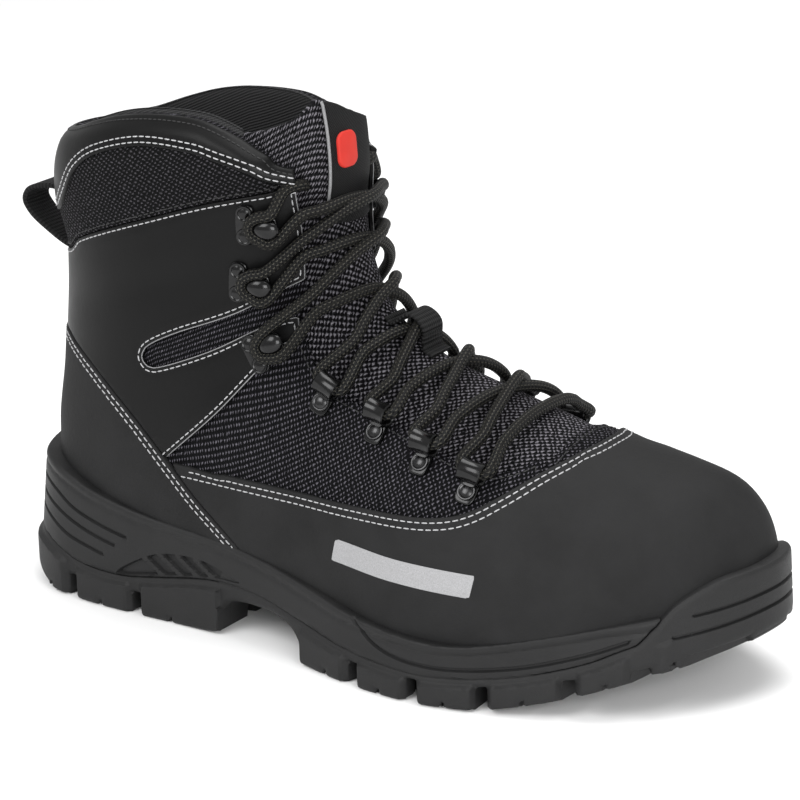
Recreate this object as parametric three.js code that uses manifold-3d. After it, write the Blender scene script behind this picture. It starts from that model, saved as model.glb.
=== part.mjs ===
// A right-foot wading boot, standing empty on its sole.
// Millimetres. +X runs from heel to toe, +Y to the wearer's left (the inner, arch side), +Z up.
import * as THREE from "three";
import { mergeVertices } from "three/addons/utils/BufferGeometryUtils.js";
import Module from "manifold-3d";

const wasm = await Module();
wasm.setup();

// Driving sizes
const LENGTH = 312;          // heel to toe over the sole
const BALL_WIDTH = 117;      // across the sole at the ball
const HEEL_WIDTH = 83;       // across the sole at the heel
const TOE_HEIGHT = 77;       // floor to the top of the toe box
const INSTEP_HEIGHT = 112;   // floor to the ridge over the instep
const SHAFT_HEIGHT = 190;    // floor to the front corner of the collar
const HEEL_LIFT = 30;        // floor to the board under the heel
const BALL_LIFT = 16;        // floor to the board under the ball
const WALL = 2.4;            // thickness of the upper
const GAP = 0.3;             // air between two pieces that touch on the real boot

// Turns a list of rows into objects with the named columns
const table = (columns, rows) =>
  rows.map((row) => Object.fromEntries(columns.map((name, i) => [name, row[i]])));

// The last. Each row is one section plane through the foot and the shaft: it runs from a point on the
// front or top ridge to a point on the bottom or the back, and the planes fan from upright at the toe
// to level at the collar. X columns are shares of LENGTH, Z columns shares of the height named in "rise"
// or "fall", and the three widths are shares of BALL_WIDTH. belly is how far along the section it is
// widest, and the two powers say how square it is before and after that.
const TOE = "toe";
const INSTEP = "instep";
const SHAFT = "shaft";
const HEIGHTS = { [TOE]: TOE_HEIGHT, [INSTEP]: INSTEP_HEIGHT, [SHAFT]: SHAFT_HEIGHT };
const LAST_ROWS = table(
  ["at", "topX", "topZ", "rise", "footX", "footZ", "fall", "mid", "outer", "inner", "belly", "topPower",
    "footPower"],
  [
    ["toe tip", 0.9800, 0.53, TOE, 0.9800, 0.42, TOE, 0.128, 0.004, 0.004, 0.55, 2.2, 2.6],
    ["toe wall", 0.9765, 0.70, TOE, 0.9770, 0.30, TOE, 0.128, 0.095, 0.085, 0.58, 2.3, 2.8],
    ["toe front", 0.9680, 0.80, TOE, 0.9670, 0.24, TOE, 0.127, 0.164, 0.143, 0.62, 2.3, 3.0],
    ["toe bend", 0.9520, 0.90, TOE, 0.9500, 0.20, TOE, 0.121, 0.236, 0.197, 0.64, 2.3, 3.0],
    ["toe box", 0.9230, 0.985, TOE, 0.9170, 0.16, TOE, 0.108, 0.315, 0.255, 0.66, 2.3, 3.0],
    ["toes", 0.8720, 1.045, TOE, 0.8590, 0.11, TOE, 0.085, 0.405, 0.322, 0.70, 2.25, 3.0],
    ["vamp", 0.8010, 1.110, TOE, 0.7790, 0.07, TOE, 0.066, 0.480, 0.370, 0.72, 2.15, 3.0],
    ["ball", 0.7240, 0.850, INSTEP, 0.6890, 0.05, INSTEP, 0.046, 0.510, 0.372, 0.74, 2.05, 3.0],
    ["throat", 0.6500, 0.930, INSTEP, 0.5990, 0.06, INSTEP, 0.028, 0.500, 0.322, 0.74, 1.95, 3.0],
    ["waist", 0.5830, 1.000, INSTEP, 0.5060, 0.08, INSTEP, 0.015, 0.437, 0.270, 0.72, 1.85, 3.0],
    ["instep", 0.5310, 1.080, INSTEP, 0.4000, 0.10, INSTEP, 0.008, 0.380, 0.282, 0.68, 1.80, 3.0],
    ["bend", 0.5000, 0.685, SHAFT, 0.2820, 0.08, SHAFT, 0.004, 0.350, 0.308, 0.60, 1.85, 3.0],
    ["ankle", 0.4860, 0.740, SHAFT, 0.1440, 0.09, SHAFT, 0.000, 0.333, 0.320, 0.56, 1.95, 2.8],
    ["heel", 0.4790, 0.785, SHAFT, 0.0480, 0.17, SHAFT, 0.000, 0.324, 0.318, 0.54, 2.05, 2.5],
    ["heel back", 0.4740, 0.830, SHAFT, 0.0320, 0.31, SHAFT, 0.000, 0.318, 0.314, 0.54, 2.1, 2.25],
    ["counter", 0.4670, 0.875, SHAFT, 0.0430, 0.46, SHAFT, 0.000, 0.312, 0.308, 0.54, 2.3, 2.15],
    ["shin", 0.4680, 0.925, SHAFT, 0.0510, 0.63, SHAFT, 0.000, 0.308, 0.306, 0.54, 2.5, 2.1],
    ["cuff", 0.4660, 0.980, SHAFT, 0.0560, 0.79, SHAFT, 0.000, 0.303, 0.301, 0.54, 2.7, 2.1],
    ["collar", 0.4620, 1.040, SHAFT, 0.0660, 0.94, SHAFT, 0.000, 0.292, 0.290, 0.54, 2.8, 2.1],
    ["above", 0.4520, 1.130, SHAFT, 0.0800, 1.10, SHAFT, 0.000, 0.280, 0.278, 0.54, 2.8, 2.1],
  ],
);

// A smooth value through four evenly spaced ones (Catmull-Rom)
function blendFour(a, b, c, d, f) {
  const linear = c - a;
  const square = 2 * a - 5 * b + 4 * c - d;
  const cube = 3 * (b - c) + d - a;
  return b + 0.5 * f * (linear + f * (square + f * cube));
}

// Row numbers may be fractions: 2.5 is half way between rows 2 and 3
function readRow(values, t) {
  const last = values.length - 1;
  const i = Math.min(Math.max(Math.floor(t), 0), last - 1);
  const at = (k) => values[Math.min(Math.max(k, 0), last)];
  return blendFour(at(i - 1), at(i), at(i + 1), at(i + 2), t - i);
}

const column = (make) => LAST_ROWS.map(make);
const LAST = {
  topX: column((r) => r.topX * LENGTH),
  topZ: column((r) => r.topZ * HEIGHTS[r.rise]),
  footX: column((r) => r.footX * LENGTH),
  footZ: column((r) => r.footZ * HEIGHTS[r.fall]),
  mid: column((r) => r.mid * BALL_WIDTH),
  outer: column((r) => r.outer * BALL_WIDTH),
  inner: column((r) => r.inner * BALL_WIDTH),
  belly: column((r) => r.belly),
  topPower: column((r) => r.topPower),
  footPower: column((r) => r.footPower),
};

// A point on the outside of the last. turn goes once round the section from the top ridge, 0 to 1,
// down the outer side first.
function lastPoint(t, turn) {
  const get = (name) => readRow(LAST[name], t);
  const angle = 2 * Math.PI * turn;
  const before = Math.cos(angle) >= 0;
  const power = 2 / get(before ? "topPower" : "footPower");
  const along = Math.sign(Math.cos(angle)) * Math.abs(Math.cos(angle)) ** power;
  const across = Math.abs(Math.sin(angle)) ** power;
  const belly = get("belly");
  const share = before ? belly * (1 - along) : belly - (1 - belly) * along;
  const outside = Math.sin(angle) >= 0;
  const y = get("mid") + across * (outside ? -get("outer") : get("inner"));
  const x = get("topX") + share * (get("footX") - get("topX"));
  const z = get("topZ") + share * (get("footZ") - get("topZ"));
  return new THREE.Vector3(x, y, z);
}

// Smaller sizes that stand by themselves
const OVERLAY = 1.5;         // rand, heel counter and ankle panels over the upper
const INSOLE = 4;            // insole thickness
const TONGUE = 4;            // padded tongue thickness
const LINING = 3;            // neoprene cuff inside the collar
const LINING_RISE = 1.5;     // how far the cuff stands above the collar
const PAD = 6.5;             // fullest thickness of the padded collar
const PAD_EDGE = 1.2;        // its thickness along the seams
const TREAD_DEPTH = 7;       // floor to the bottom of the grooves between lugs
const GROOVE_DEPTH = 1.1;    // lines moulded into the sole's side
const GROOVE_WIDTH = 1.5;    // and their width
const SOLE_TAPER = 4.5;      // how far the heel's side leans in at its top
const LACE = 4.4;            // lace diameter
const WEBBING = 2;           // webbing thickness
const LOOP_WIDTH = 15;       // pull loop
const KEEPER_WIDTH = 13;     // lace keeper on the tongue
const RIVET = 5.6;           // rivet head diameter
const COLLAR_TILT = -3;      // degrees that the collar leans down to its inner side
const SKEW = 2.2;            // how far the inner side's tread gaps sit ahead of the outer side's

// Names of the heights that a side curve's rows can follow
const FLOOR = "floor";
const HEEL = "heel";
const BALL = "ball";
const SPAN = 400;            // longer than anything that is cut

Object.assign(HEIGHTS, { [FLOOR]: 1, [HEEL]: HEEL_LIFT, [BALL]: BALL_LIFT });

// Points of a curve seen from the side: x is a share of LENGTH, z a share of the named height
const sideCurve = (rows) => rows.map(([x, z, height]) => [x * LENGTH, z * HEIGHTS[height]]);

// Seams and edges seen from the outer side
const RAND_SEAM = sideCurve([
  [0.277, 0.575, INSTEP], [0.385, 0.572, INSTEP], [0.510, 0.570, INSTEP], [0.615, 0.583, INSTEP],
  [0.668, 0.596, INSTEP], [0.701, 0.622, INSTEP], [0.732, 0.673, INSTEP], [0.760, 0.727, INSTEP],
  [0.783, 0.765, INSTEP], [0.797, 0.795, INSTEP], [0.803, 0.900, INSTEP],
]);
const COUNTER_SEAM = sideCurve([
  [-0.060, 0.550, SHAFT], [0.065, 0.547, SHAFT], [0.098, 0.537, SHAFT], [0.147, 0.499, SHAFT],
  [0.186, 0.453, SHAFT], [0.218, 0.409, SHAFT], [0.248, 0.363, SHAFT], [0.278, 0.316, SHAFT],
  [0.308, 0.270, SHAFT], [0.340, 0.228, SHAFT], [0.400, 0.150, SHAFT],
]);
const QUARTER_FRONT = sideCurve([
  [0.264, 0.352, SHAFT], [0.339, 0.460, SHAFT], [0.403, 0.575, SHAFT], [0.440, 0.612, SHAFT],
]);
const COLLAR_SEAM = sideCurve([
  [-0.060, 0.700, SHAFT], [0.075, 0.715, SHAFT], [0.119, 0.757, SHAFT], [0.175, 0.795, SHAFT],
  [0.249, 0.837, SHAFT], [0.327, 0.878, SHAFT], [0.399, 0.907, SHAFT], [0.436, 0.918, SHAFT],
  [0.600, 0.920, SHAFT],
]);
const COLLAR_TOP = sideCurve([
  [-0.060, 0.950, SHAFT], [0.060, 0.953, SHAFT], [0.110, 0.969, SHAFT], [0.158, 0.996, SHAFT],
  [0.204, 1.017, SHAFT], [0.258, 1.029, SHAFT], [0.313, 1.029, SHAFT], [0.345, 1.017, SHAFT],
  [0.376, 0.996, SHAFT], [0.402, 0.972, SHAFT], [0.436, 0.945, SHAFT], [0.600, 0.945, SHAFT],
]);
const THROAT_EDGE = sideCurve([
  [0.430, 1.300, SHAFT], [0.430, 0.960, SHAFT], [0.433, 0.810, SHAFT], [0.436, 0.720, SHAFT],
  [0.433, 0.670, SHAFT], [0.441, 0.615, SHAFT], [0.481, 0.905, INSTEP], [0.566, 0.830, INSTEP],
  [0.635, 0.780, INSTEP], [0.692, 0.733, INSTEP], [0.724, 0.735, INSTEP], [0.750, 0.765, INSTEP],
  [0.764, 0.820, INSTEP], [0.768, 1.700, INSTEP],
]);
const TONGUE_EDGE = sideCurve([
  [0.370, 1.300, SHAFT], [0.370, 0.900, SHAFT], [0.394, 0.790, SHAFT], [0.408, 0.680, SHAFT],
  [0.423, 0.590, SHAFT], [0.470, 0.850, INSTEP], [0.555, 0.770, INSTEP], [0.630, 0.715, INSTEP],
  [0.690, 0.665, INSTEP], [0.735, 0.660, INSTEP], [0.780, 0.715, INSTEP], [0.790, 1.700, INSTEP],
]);
const SLOT = sideCurve([
  [0.470, 0.760, SHAFT], [0.434, 0.731, SHAFT], [0.362, 0.663, SHAFT], [0.282, 0.609, SHAFT],
  [0.237, 0.572, SHAFT], [0.229, 0.549, SHAFT], [0.236, 0.534, SHAFT], [0.251, 0.532, SHAFT],
  [0.326, 0.581, SHAFT], [0.390, 0.637, SHAFT], [0.423, 0.658, SHAFT], [0.470, 0.675, SHAFT],
]);

// Curves of the sole seen from the side
const FEATHER = sideCurve([
  [-0.060, 1.850, HEEL], [0.020, 1.820, HEEL], [0.083, 1.690, HEEL], [0.144, 1.510, HEEL],
  [0.224, 1.350, HEEL], [0.304, 1.267, HEEL], [0.369, 1.210, HEEL], [0.471, 1.050, HEEL],
  [0.561, 1.656, BALL], [0.657, 1.469, BALL], [0.724, 1.520, BALL], [0.824, 1.938, BALL],
  [0.872, 2.156, BALL], [0.960, 2.500, BALL],
]);
const BUMPER_EDGE = sideCurve([
  [0.901, 1.750, BALL], [0.918, 2.250, BALL], [0.938, 2.900, BALL], [0.962, 3.300, BALL],
  [0.988, 3.450, BALL], [1.060, 3.500, BALL],
]);
const PARTING = sideCurve([
  [-0.060, 0.800, HEEL], [0.030, 0.740, HEEL], [0.074, 0.630, HEEL], [0.112, 0.510, HEEL],
  [0.176, 0.470, HEEL], [0.240, 0.560, HEEL], [0.324, 0.700, HEEL], [0.400, 0.690, HEEL],
  [0.455, 0.600, HEEL], [0.532, 0.860, BALL], [0.590, 0.740, BALL], [0.654, 0.690, BALL],
  [0.715, 0.750, BALL], [0.785, 0.950, BALL], [0.853, 1.330, BALL], [0.901, 1.750, BALL],
]);
const BOARD = sideCurve([
  [-0.060, 1.000, HEEL], [0.270, 1.000, HEEL], [0.350, 0.920, HEEL], [0.449, 0.767, HEEL],
  [0.545, 1.188, BALL], [0.641, 1.000, BALL], [0.737, 1.000, BALL], [0.801, 1.030, BALL],
  [0.865, 1.190, BALL], [0.913, 1.406, BALL], [0.962, 1.690, BALL], [1.060, 2.100, BALL],
]);
const GROUND = sideCurve([
  [-0.060, 0.700, HEEL], [0.006, 0.400, HEEL], [0.028, 0.190, HEEL], [0.055, 0.060, HEEL], [0.085, 0, FLOOR],
  [0.314, 0, FLOOR], [0.333, 0.150, HEEL], [0.346, 0.420, HEEL], [0.375, 0.510, HEEL],
  [0.430, 0.500, HEEL], [0.460, 0.380, HEEL], [0.478, 0.140, HEEL], [0.490, 0, FLOOR],
  [0.705, 0, FLOOR], [0.766, 0.140, BALL], [0.827, 0.430, BALL], [0.872, 0.710, BALL],
  [0.913, 0.990, BALL], [0.955, 1.240, BALL], [0.985, 1.430, BALL], [1.060, 2.050, BALL],
]);

// Lines moulded round the sole's side, each with the piece that it is cut into
const HEEL_LINES = [
  sideCurve([
    [-0.060, 1.560, HEEL], [0.020, 1.520, HEEL], [0.070, 1.400, HEEL], [0.106, 1.230, HEEL],
    [0.151, 1.100, HEEL], [0.192, 1.010, HEEL],
  ]),
  sideCurve([
    [-0.060, 1.360, HEEL], [0.020, 1.310, HEEL], [0.064, 1.190, HEEL], [0.106, 1.040, HEEL],
    [0.141, 0.940, HEEL], [0.173, 0.870, HEEL],
  ]),
  sideCurve([
    [-0.060, 1.170, HEEL], [0.018, 1.110, HEEL], [0.058, 0.990, HEEL], [0.096, 0.840, HEEL],
    [0.131, 0.760, HEEL], [0.154, 0.710, HEEL],
  ]),
];
const FORE_LINE = sideCurve([
  [0.562, 1.720, BALL], [0.571, 1.530, BALL], [0.593, 1.190, BALL], [0.622, 1.000, BALL],
  [0.663, 0.920, BALL], [0.715, 0.950, BALL], [0.785, 1.150, BALL], [0.853, 1.520, BALL],
  [0.895, 1.850, BALL],
]);
const BUMPER_LINES = [
  sideCurve([[0.953, 2.375, BALL], [0.987, 2.500, BALL], [1.060, 2.800, BALL]]),
  sideCurve([[0.937, 1.900, BALL], [0.978, 2.060, BALL], [1.060, 2.450, BALL]]),
];
const ARCH_PANEL = sideCurve([
  [0.190, 0.560, HEEL], [0.221, 0.800, HEEL], [0.260, 0.920, HEEL], [0.308, 0.940, HEEL],
  [0.345, 0.860, HEEL], [0.362, 0.790, HEEL], [0.324, 0.740, HEEL], [0.240, 0.600, HEEL],
]);
const ARCH_RIBS = table(["x", "z"], [[0.236, 0.700], [0.262, 0.770], [0.290, 0.800], [0.318, 0.810]]);
const RIB_LENGTH = 14;
const RIB_SLOPE = -0.62;

// The sole's outline: x is a share of LENGTH, the widths to each side shares of half of "across"
const ACROSS = { [HEEL]: HEEL_WIDTH / 2, [BALL]: BALL_WIDTH / 2 };
const OUTLINE_ROWS = table(["x", "outer", "inner", "across"], [
  [0.005, 0.370, 0.370, HEEL], [0.029, 0.680, 0.670, HEEL], [0.070, 0.875, 0.855, HEEL],
  [0.128, 0.960, 0.960, HEEL], [0.192, 0.990, 1.000, HEEL], [0.272, 1.000, 0.970, HEEL],
  [0.353, 1.040, 0.870, HEEL], [0.417, 1.120, 0.815, HEEL], [0.481, 0.880, 0.575, BALL],
  [0.545, 0.972, 0.650, BALL], [0.609, 1.030, 0.770, BALL], [0.667, 1.040, 0.865, BALL],
  [0.721, 0.992, 0.925, BALL], [0.769, 0.918, 0.953, BALL], [0.817, 0.826, 0.950, BALL],
  [0.865, 0.716, 0.917, BALL], [0.907, 0.590, 0.849, BALL], [0.942, 0.430, 0.762, BALL],
  [0.972, 0.240, 0.657, BALL], [0.993, 0.020, 0.535, BALL],
]);
const TOE_TIP = { x: 1.004, y: 0.290 };
const HEEL_TIP = { x: -0.006, y: 0.000 };

// Finds a point of the last and its outward normal
const NORMAL_STEP = 0.012;
function lastNormal(t, turn) {
  const low = Math.max(t - NORMAL_STEP, 0);
  const alongRow = lastPoint(t, turn + NORMAL_STEP).sub(lastPoint(t, turn - NORMAL_STEP));
  const acrossRow = lastPoint(low + 2 * NORMAL_STEP, turn).sub(lastPoint(low, turn));
  return acrossRow.cross(alongRow).normalize();
}

const raised = (t, turn, height) => lastPoint(t, turn).addScaledVector(lastNormal(t, turn), height);

// Solids and cuts
function toSolid(geometry) {
  const bare = geometry.clone();
  bare.deleteAttribute("normal");
  bare.deleteAttribute("uv");
  const merged = mergeVertices(bare, 1e-4);
  return new wasm.Manifold(new wasm.Mesh({
    numProp: 3,
    vertProperties: new Float32Array(merged.attributes.position.array),
    triVerts: new Uint32Array(merged.index.array),
  }));
}

function toGeometry(solid) {
  const { vertProperties, triVerts } = solid.getMesh();
  const geometry = new THREE.BufferGeometry();
  geometry.setAttribute("position", new THREE.BufferAttribute(new Float32Array(vertProperties), 3));
  geometry.setIndex(new THREE.BufferAttribute(new Uint32Array(triVerts), 1));
  geometry.computeVertexNormals();
  return geometry;
}

const joined = (solids) => solids.reduce((sum, solid) => sum.add(solid));

// The main body of a cut piece, without crumbs that the cuts leave at its edge
const largest = (solid) => solid.decompose().sort((a, b) => b.volume() - a.volume())[0];

// A closed body lofted through rings of equal length, its first and last rings closed by fans
function loft(rings) {
  const count = rings[0].length;
  const points = rings.flat();
  const index = [];
  for (let i = 0; i + 1 < rings.length; i++) {
    for (let j = 0; j < count; j++) {
      const a = i * count + j;
      const b = i * count + ((j + 1) % count);
      index.push(a, b, b + count, a, b + count, a + count);
    }
  }
  const capAt = (ring, start, flip) => {
    const centre = ring.reduce((sum, p) => sum.add(p), new THREE.Vector3()).divideScalar(count);
    points.push(centre);
    const hub = points.length - 1;
    for (let j = 0; j < count; j++) {
      const a = start + j;
      const b = start + ((j + 1) % count);
      index.push(...(flip ? [hub, b, a] : [hub, a, b]));
    }
  };
  capAt(rings[0], 0, true);
  capAt(rings[rings.length - 1], (rings.length - 1) * count, false);
  const geometry = new THREE.BufferGeometry().setFromPoints(points);
  geometry.setIndex(index);
  return toSolid(geometry);
}

// The form of the last, grown or shrunk: height is a number or a function of the point
const RING = 18;
const SECTIONS = [0, 0.8, 1.8, 3, 4, 5, 6, 7.2, 8.2, 9.2, 10.2, 11.2, 12.2, 13.2, 14.4, 15.6, 16.8, 17.9, 19];
function skin(height) {
  const rings = SECTIONS.map((t) => Array.from({ length: RING }, (_, j) => {
    const turn = 1 - j / RING;
    const h = typeof height === "function" ? height(lastPoint(t, turn)) : height;
    return raised(t, turn, h);
  }));
  return loft(rings);
}

// A prism whose outline is drawn in the side view, running the whole way across
function sideways(points, from = -SPAN / 2, to = SPAN / 2) {
  const shape = new THREE.Shape(points.map(([x, z]) => new THREE.Vector2(x, z)));
  const geometry = new THREE.ExtrudeGeometry(shape, { depth: to - from, bevelEnabled: false });
  geometry.rotateX(Math.PI / 2);
  geometry.translate(0, to, 0);
  return toSolid(geometry);
}

// A prism whose outline is drawn from above
function upright(points, from, to) {
  const shape = new THREE.Shape(points.map(([x, y]) => new THREE.Vector2(x, y)));
  const geometry = new THREE.ExtrudeGeometry(shape, { depth: to - from, bevelEnabled: false });
  geometry.translate(0, 0, from);
  return toSolid(geometry);
}

// A prism whose outline is drawn from the front
function lengthways(points, from, to) {
  const shape = new THREE.Shape(points.map(([y, z]) => new THREE.Vector2(y, z)));
  const geometry = new THREE.ExtrudeGeometry(shape, { depth: to - from, bevelEnabled: false });
  geometry.rotateX(Math.PI / 2);
  geometry.rotateZ(Math.PI / 2);
  geometry.translate(from, 0, 0);
  return toSolid(geometry);
}

const shifted = (curve, dx, dz) => curve.map(([x, z]) => [x + dx, z + dz]);
const lastOf = (list) => list[list.length - 1];

// Everything on one side of a side curve, which runs on level at both its ends
function sideOf(curve, far) {
  const front = lastOf(curve)[1];
  return [...curve, [SPAN, front], [SPAN, far], [-SPAN, far], [-SPAN, curve[0][1]]];
}
const above = (curve) => sideOf(curve, SPAN);
const below = (curve) => sideOf(curve, -SPAN);

// Height of a side curve above x
function heightAt(curve, x) {
  const i = curve.findIndex(([cx]) => cx > x);
  if (i <= 0) return i === 0 ? curve[0][1] : lastOf(curve)[1];
  const [x0, z0] = curve[i - 1];
  const [x1, z1] = curve[i];
  return z0 + ((z1 - z0) * (x - x0)) / (x1 - x0);
}

// Cutting bodies that several pieces share
const footCut = sideways(below(shifted(BOARD, 0, GAP)));
const tilted = (solid) => solid.rotate([COLLAR_TILT, 0, 0]);
const collarCut = tilted(sideways(above(COLLAR_TOP)));
const throatCut = sideways(THROAT_EDGE);
const lastBody = skin(0);
const overGap = skin(GAP);
const overlayBody = skin(GAP + OVERLAY);
const underWall = skin(-WALL);
const insideFit = skin(-WALL - GAP);

function makeUpper() {
  return lastBody.subtract(underWall).subtract(footCut).subtract(collarCut).subtract(throatCut);
}

// A layer over the upper inside an outline drawn in the side view
const overlay = (outline) => overlayBody.subtract(overGap).intersect(outline).subtract(footCut);

// Everything behind the heel counter's seam, and everything under the rand's
function behindCounter(gap) {
  const seam = shifted(COUNTER_SEAM, gap, gap);
  const [endX] = lastOf(seam);
  return sideways([...seam, [endX, -SPAN], [-SPAN, -SPAN], [-SPAN, seam[0][1]]]);
}

const underRand = (gap) => sideways(below(shifted(RAND_SEAM, 0, gap)));

const makeRand = () => overlay(underRand(0).subtract(behindCounter(GAP)));

const makeHeelCounter = () => overlay(behindCounter(0));

// Leather over the ankle, one panel each side, meeting behind the heel, with a slot that shows the mesh
function makeAnklePanels() {
  const field = sideways(above(QUARTER_FRONT)).intersect(sideways(below(shifted(COLLAR_SEAM, 0, -GAP))));
  const panels = overlay(field).subtract(behindCounter(GAP)).subtract(underRand(GAP))
    .subtract(throatCut).subtract(sideways(SLOT));
  const half = sideways([[-SPAN, -SPAN], [SPAN, -SPAN], [SPAN, SPAN], [-SPAN, SPAN]], GAP / 2, SPAN);
  return {
    ankle_panel_outer: panels.intersect(half.mirror([0, 1, 0])),
    ankle_panel_inner: panels.intersect(half),
  };
}

// Thickness of the padded collar: thin along its seams, fullest two thirds of the way up
const PAD_FADE = 14;         // length over which it thins out towards the throat
const PAD_LEAST = 0.3;       // share of its fullness left there
const PAD_CREST = 1.5;       // moves the fullest height up
const PAD_ROUND = 0.7;       // and fills it out
function padHeight(p) {
  const low = heightAt(COLLAR_SEAM, p.x);
  const high = heightAt(COLLAR_TOP, p.x);
  const share = THREE.MathUtils.clamp((p.z - low) / (high - low), 0, 1);
  const full = Math.sin(Math.PI * share ** PAD_CREST) ** PAD_ROUND;
  const fade = THREE.MathUtils.clamp((THROAT_EDGE[1][0] - p.x) / PAD_FADE, PAD_LEAST, 1);
  return PAD_EDGE + (PAD - PAD_EDGE) * full * fade;
}

function makeCollar() {
  return skin(padHeight).subtract(overGap).intersect(sideways(above(COLLAR_SEAM)))
    .subtract(collarCut).subtract(throatCut);
}

const LINING_FOOT = 0.70;
function makeLining() {
  const front = TONGUE_EDGE[0][0] - GAP;
  const foot = LINING_FOOT * SHAFT_HEIGHT;
  const top = shifted(COLLAR_TOP, 0, LINING_RISE).filter(([x]) => x < front);
  const frontTop = heightAt(COLLAR_TOP, front) + LINING_RISE;
  const outline = [[top[0][0], foot], [front, foot], [front, frontTop], ...top.reverse()];
  return insideFit.subtract(skin(-WALL - GAP - LINING)).intersect(tilted(sideways(outline)));
}

// The tongue's top edge seen from the front: y is a share of BALL_WIDTH, z of SHAFT_HEIGHT
const TONGUE_TOP = [
  [-0.34, 0.985], [-0.24, 1.028], [-0.128, 1.082], [-0.06, 1.070], [0.02, 1.045], [0.13, 1.018],
  [0.24, 0.995], [0.34, 0.970],
].map(([y, z]) => [y * BALL_WIDTH, z * SHAFT_HEIGHT]);

function makeTongue() {
  const top = lengthways([...TONGUE_TOP, [SPAN, -SPAN], [-SPAN, -SPAN]], -SPAN, SPAN);
  return insideFit.subtract(skin(-WALL - GAP - TONGUE)).intersect(sideways(TONGUE_EDGE)).intersect(top);
}

// Smooth panel sewn to the front of the tongue above the laces
const PANEL = 1;
const PANEL_LEFT = -0.122 * BALL_WIDTH;
const PANEL_RIGHT = 0.10 * BALL_WIDTH;
const PANEL_FOOT = 0.835 * SHAFT_HEIGHT;
function makeTonguePanel() {
  const inside = TONGUE_TOP.filter(([y]) => y > PANEL_LEFT && y < PANEL_RIGHT);
  const outline = [
    [PANEL_LEFT, PANEL_FOOT],
    [PANEL_LEFT, heightAt(TONGUE_TOP, PANEL_LEFT) - PANEL],
    ...shifted(inside, 0, -PANEL),
    [PANEL_RIGHT, heightAt(TONGUE_TOP, PANEL_RIGHT) - PANEL],
    [PANEL_RIGHT, PANEL_FOOT],
  ];
  const front = lengthways(outline, TONGUE_EDGE[0][0], SPAN);
  return skin(PANEL - WALL).subtract(underWall).intersect(front);
}

function makeInsole() {
  const bed = shifted(BOARD, 0, GAP);
  const top = shifted(BOARD, 0, GAP + INSOLE).reverse();
  return insideFit.intersect(sideways([...bed, ...top]));
}

// The sole's outline and its form, which leans in towards the top of the heel
const OUTLINE_POINTS = 38;
function solePath() {
  const outer = OUTLINE_ROWS.map((r) => new THREE.Vector3(r.x * LENGTH, -r.outer * ACROSS[r.across], 0));
  const inner = OUTLINE_ROWS.map((r) => new THREE.Vector3(r.x * LENGTH, r.inner * ACROSS[r.across], 0));
  const toe = new THREE.Vector3(TOE_TIP.x * LENGTH, TOE_TIP.y * ACROSS[BALL], 0);
  const heel = new THREE.Vector3(HEEL_TIP.x * LENGTH, HEEL_TIP.y, 0);
  const path = new THREE.CatmullRomCurve3([heel, ...outer, toe, ...inner.reverse()], true, "centripetal");
  return path.getPoints(OUTLINE_POINTS).slice(0, -1);
}
const SOLE_PATH = solePath();

// The outline moved in by a distance
function insetPath(inset) {
  const count = SOLE_PATH.length;
  return SOLE_PATH.map((p, i) => {
    const before = SOLE_PATH[(i + count - 1) % count];
    const after = SOLE_PATH[(i + 1) % count];
    const along = after.clone().sub(before).normalize();
    const inward = new THREE.Vector3(-along.y, along.x, 0);
    return p.clone().addScaledVector(inward, typeof inset === "function" ? inset(p) : inset);
  });
}

const SIDE_FOOT = 0.6 * HEEL_LIFT;
const SIDE_TOP = 1.9 * HEEL_LIFT;
const SIDE_TAPER = 1.6;      // how far the side leans in everywhere else
const HEEL_BACK = 0.12 * LENGTH;
const SIDE_LEVELS = [-SIDE_FOOT, SIDE_FOOT, SIDE_TOP];
function soleForm(extra) {
  return loft(SIDE_LEVELS.map((z) => {
    const climb = THREE.MathUtils.clamp((z - SIDE_FOOT) / (SIDE_TOP - SIDE_FOOT), 0, 1);
    const lean = (p) => {
      const back = THREE.MathUtils.clamp(1 - p.x / HEEL_BACK, 0, 1);
      return SIDE_TAPER + (SOLE_TAPER - SIDE_TAPER) * back;
    };
    return insetPath((p) => extra + climb * lean(p)).map((p) => p.setZ(z));
  }));
}

const cup = skin(GAP + OVERLAY + GAP).subtract(sideways(below(BOARD)));
const sole = soleForm(0);
const sideLayer = soleForm(-GROOVE_WIDTH).subtract(soleForm(GROOVE_DEPTH));

// A line of the named width moulded along a side curve
function sideLine(curve) {
  const half = GROOVE_WIDTH / 2;
  return sideways([...shifted(curve, 0, -half), ...shifted(curve, 0, half).reverse()]).intersect(sideLayer);
}

// The arch panel is sunk into the side, with slanted ribs left standing in it
function archPanel() {
  const ribs = ARCH_RIBS.map((r) => {
    const x = r.x * LENGTH;
    const z = r.z * HEEL_LIFT;
    const dx = RIB_LENGTH / 2;
    const dz = dx * RIB_SLOPE;
    return sideways([[x - dx, z - dz - GROOVE_WIDTH / 2], [x + dx, z + dz - GROOVE_WIDTH / 2],
      [x + dx, z + dz + GROOVE_WIDTH / 2], [x - dx, z - dz + GROOVE_WIDTH / 2]]);
  });
  return sideways(ARCH_PANEL).intersect(sideLayer).subtract(joined(ribs));
}

const behindBumper = sideways([
  [-SPAN, -SPAN],
  [BUMPER_EDGE[0][0] - GAP / 2, -SPAN],
  ...shifted(BUMPER_EDGE, -GAP / 2, GAP / 2),
  [lastOf(BUMPER_EDGE)[0], SPAN],
  [-SPAN, SPAN],
]);

function makeMidsole() {
  const body = sole
    .intersect(sideways(above(shifted(PARTING, 0, GAP / 2))))
    .intersect(sideways(below(FEATHER)))
    .intersect(behindBumper);
  const lines = [...HEEL_LINES, FORE_LINE].map(sideLine);
  return body.subtract(cup).subtract(joined([...lines, archPanel()]));
}

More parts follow.
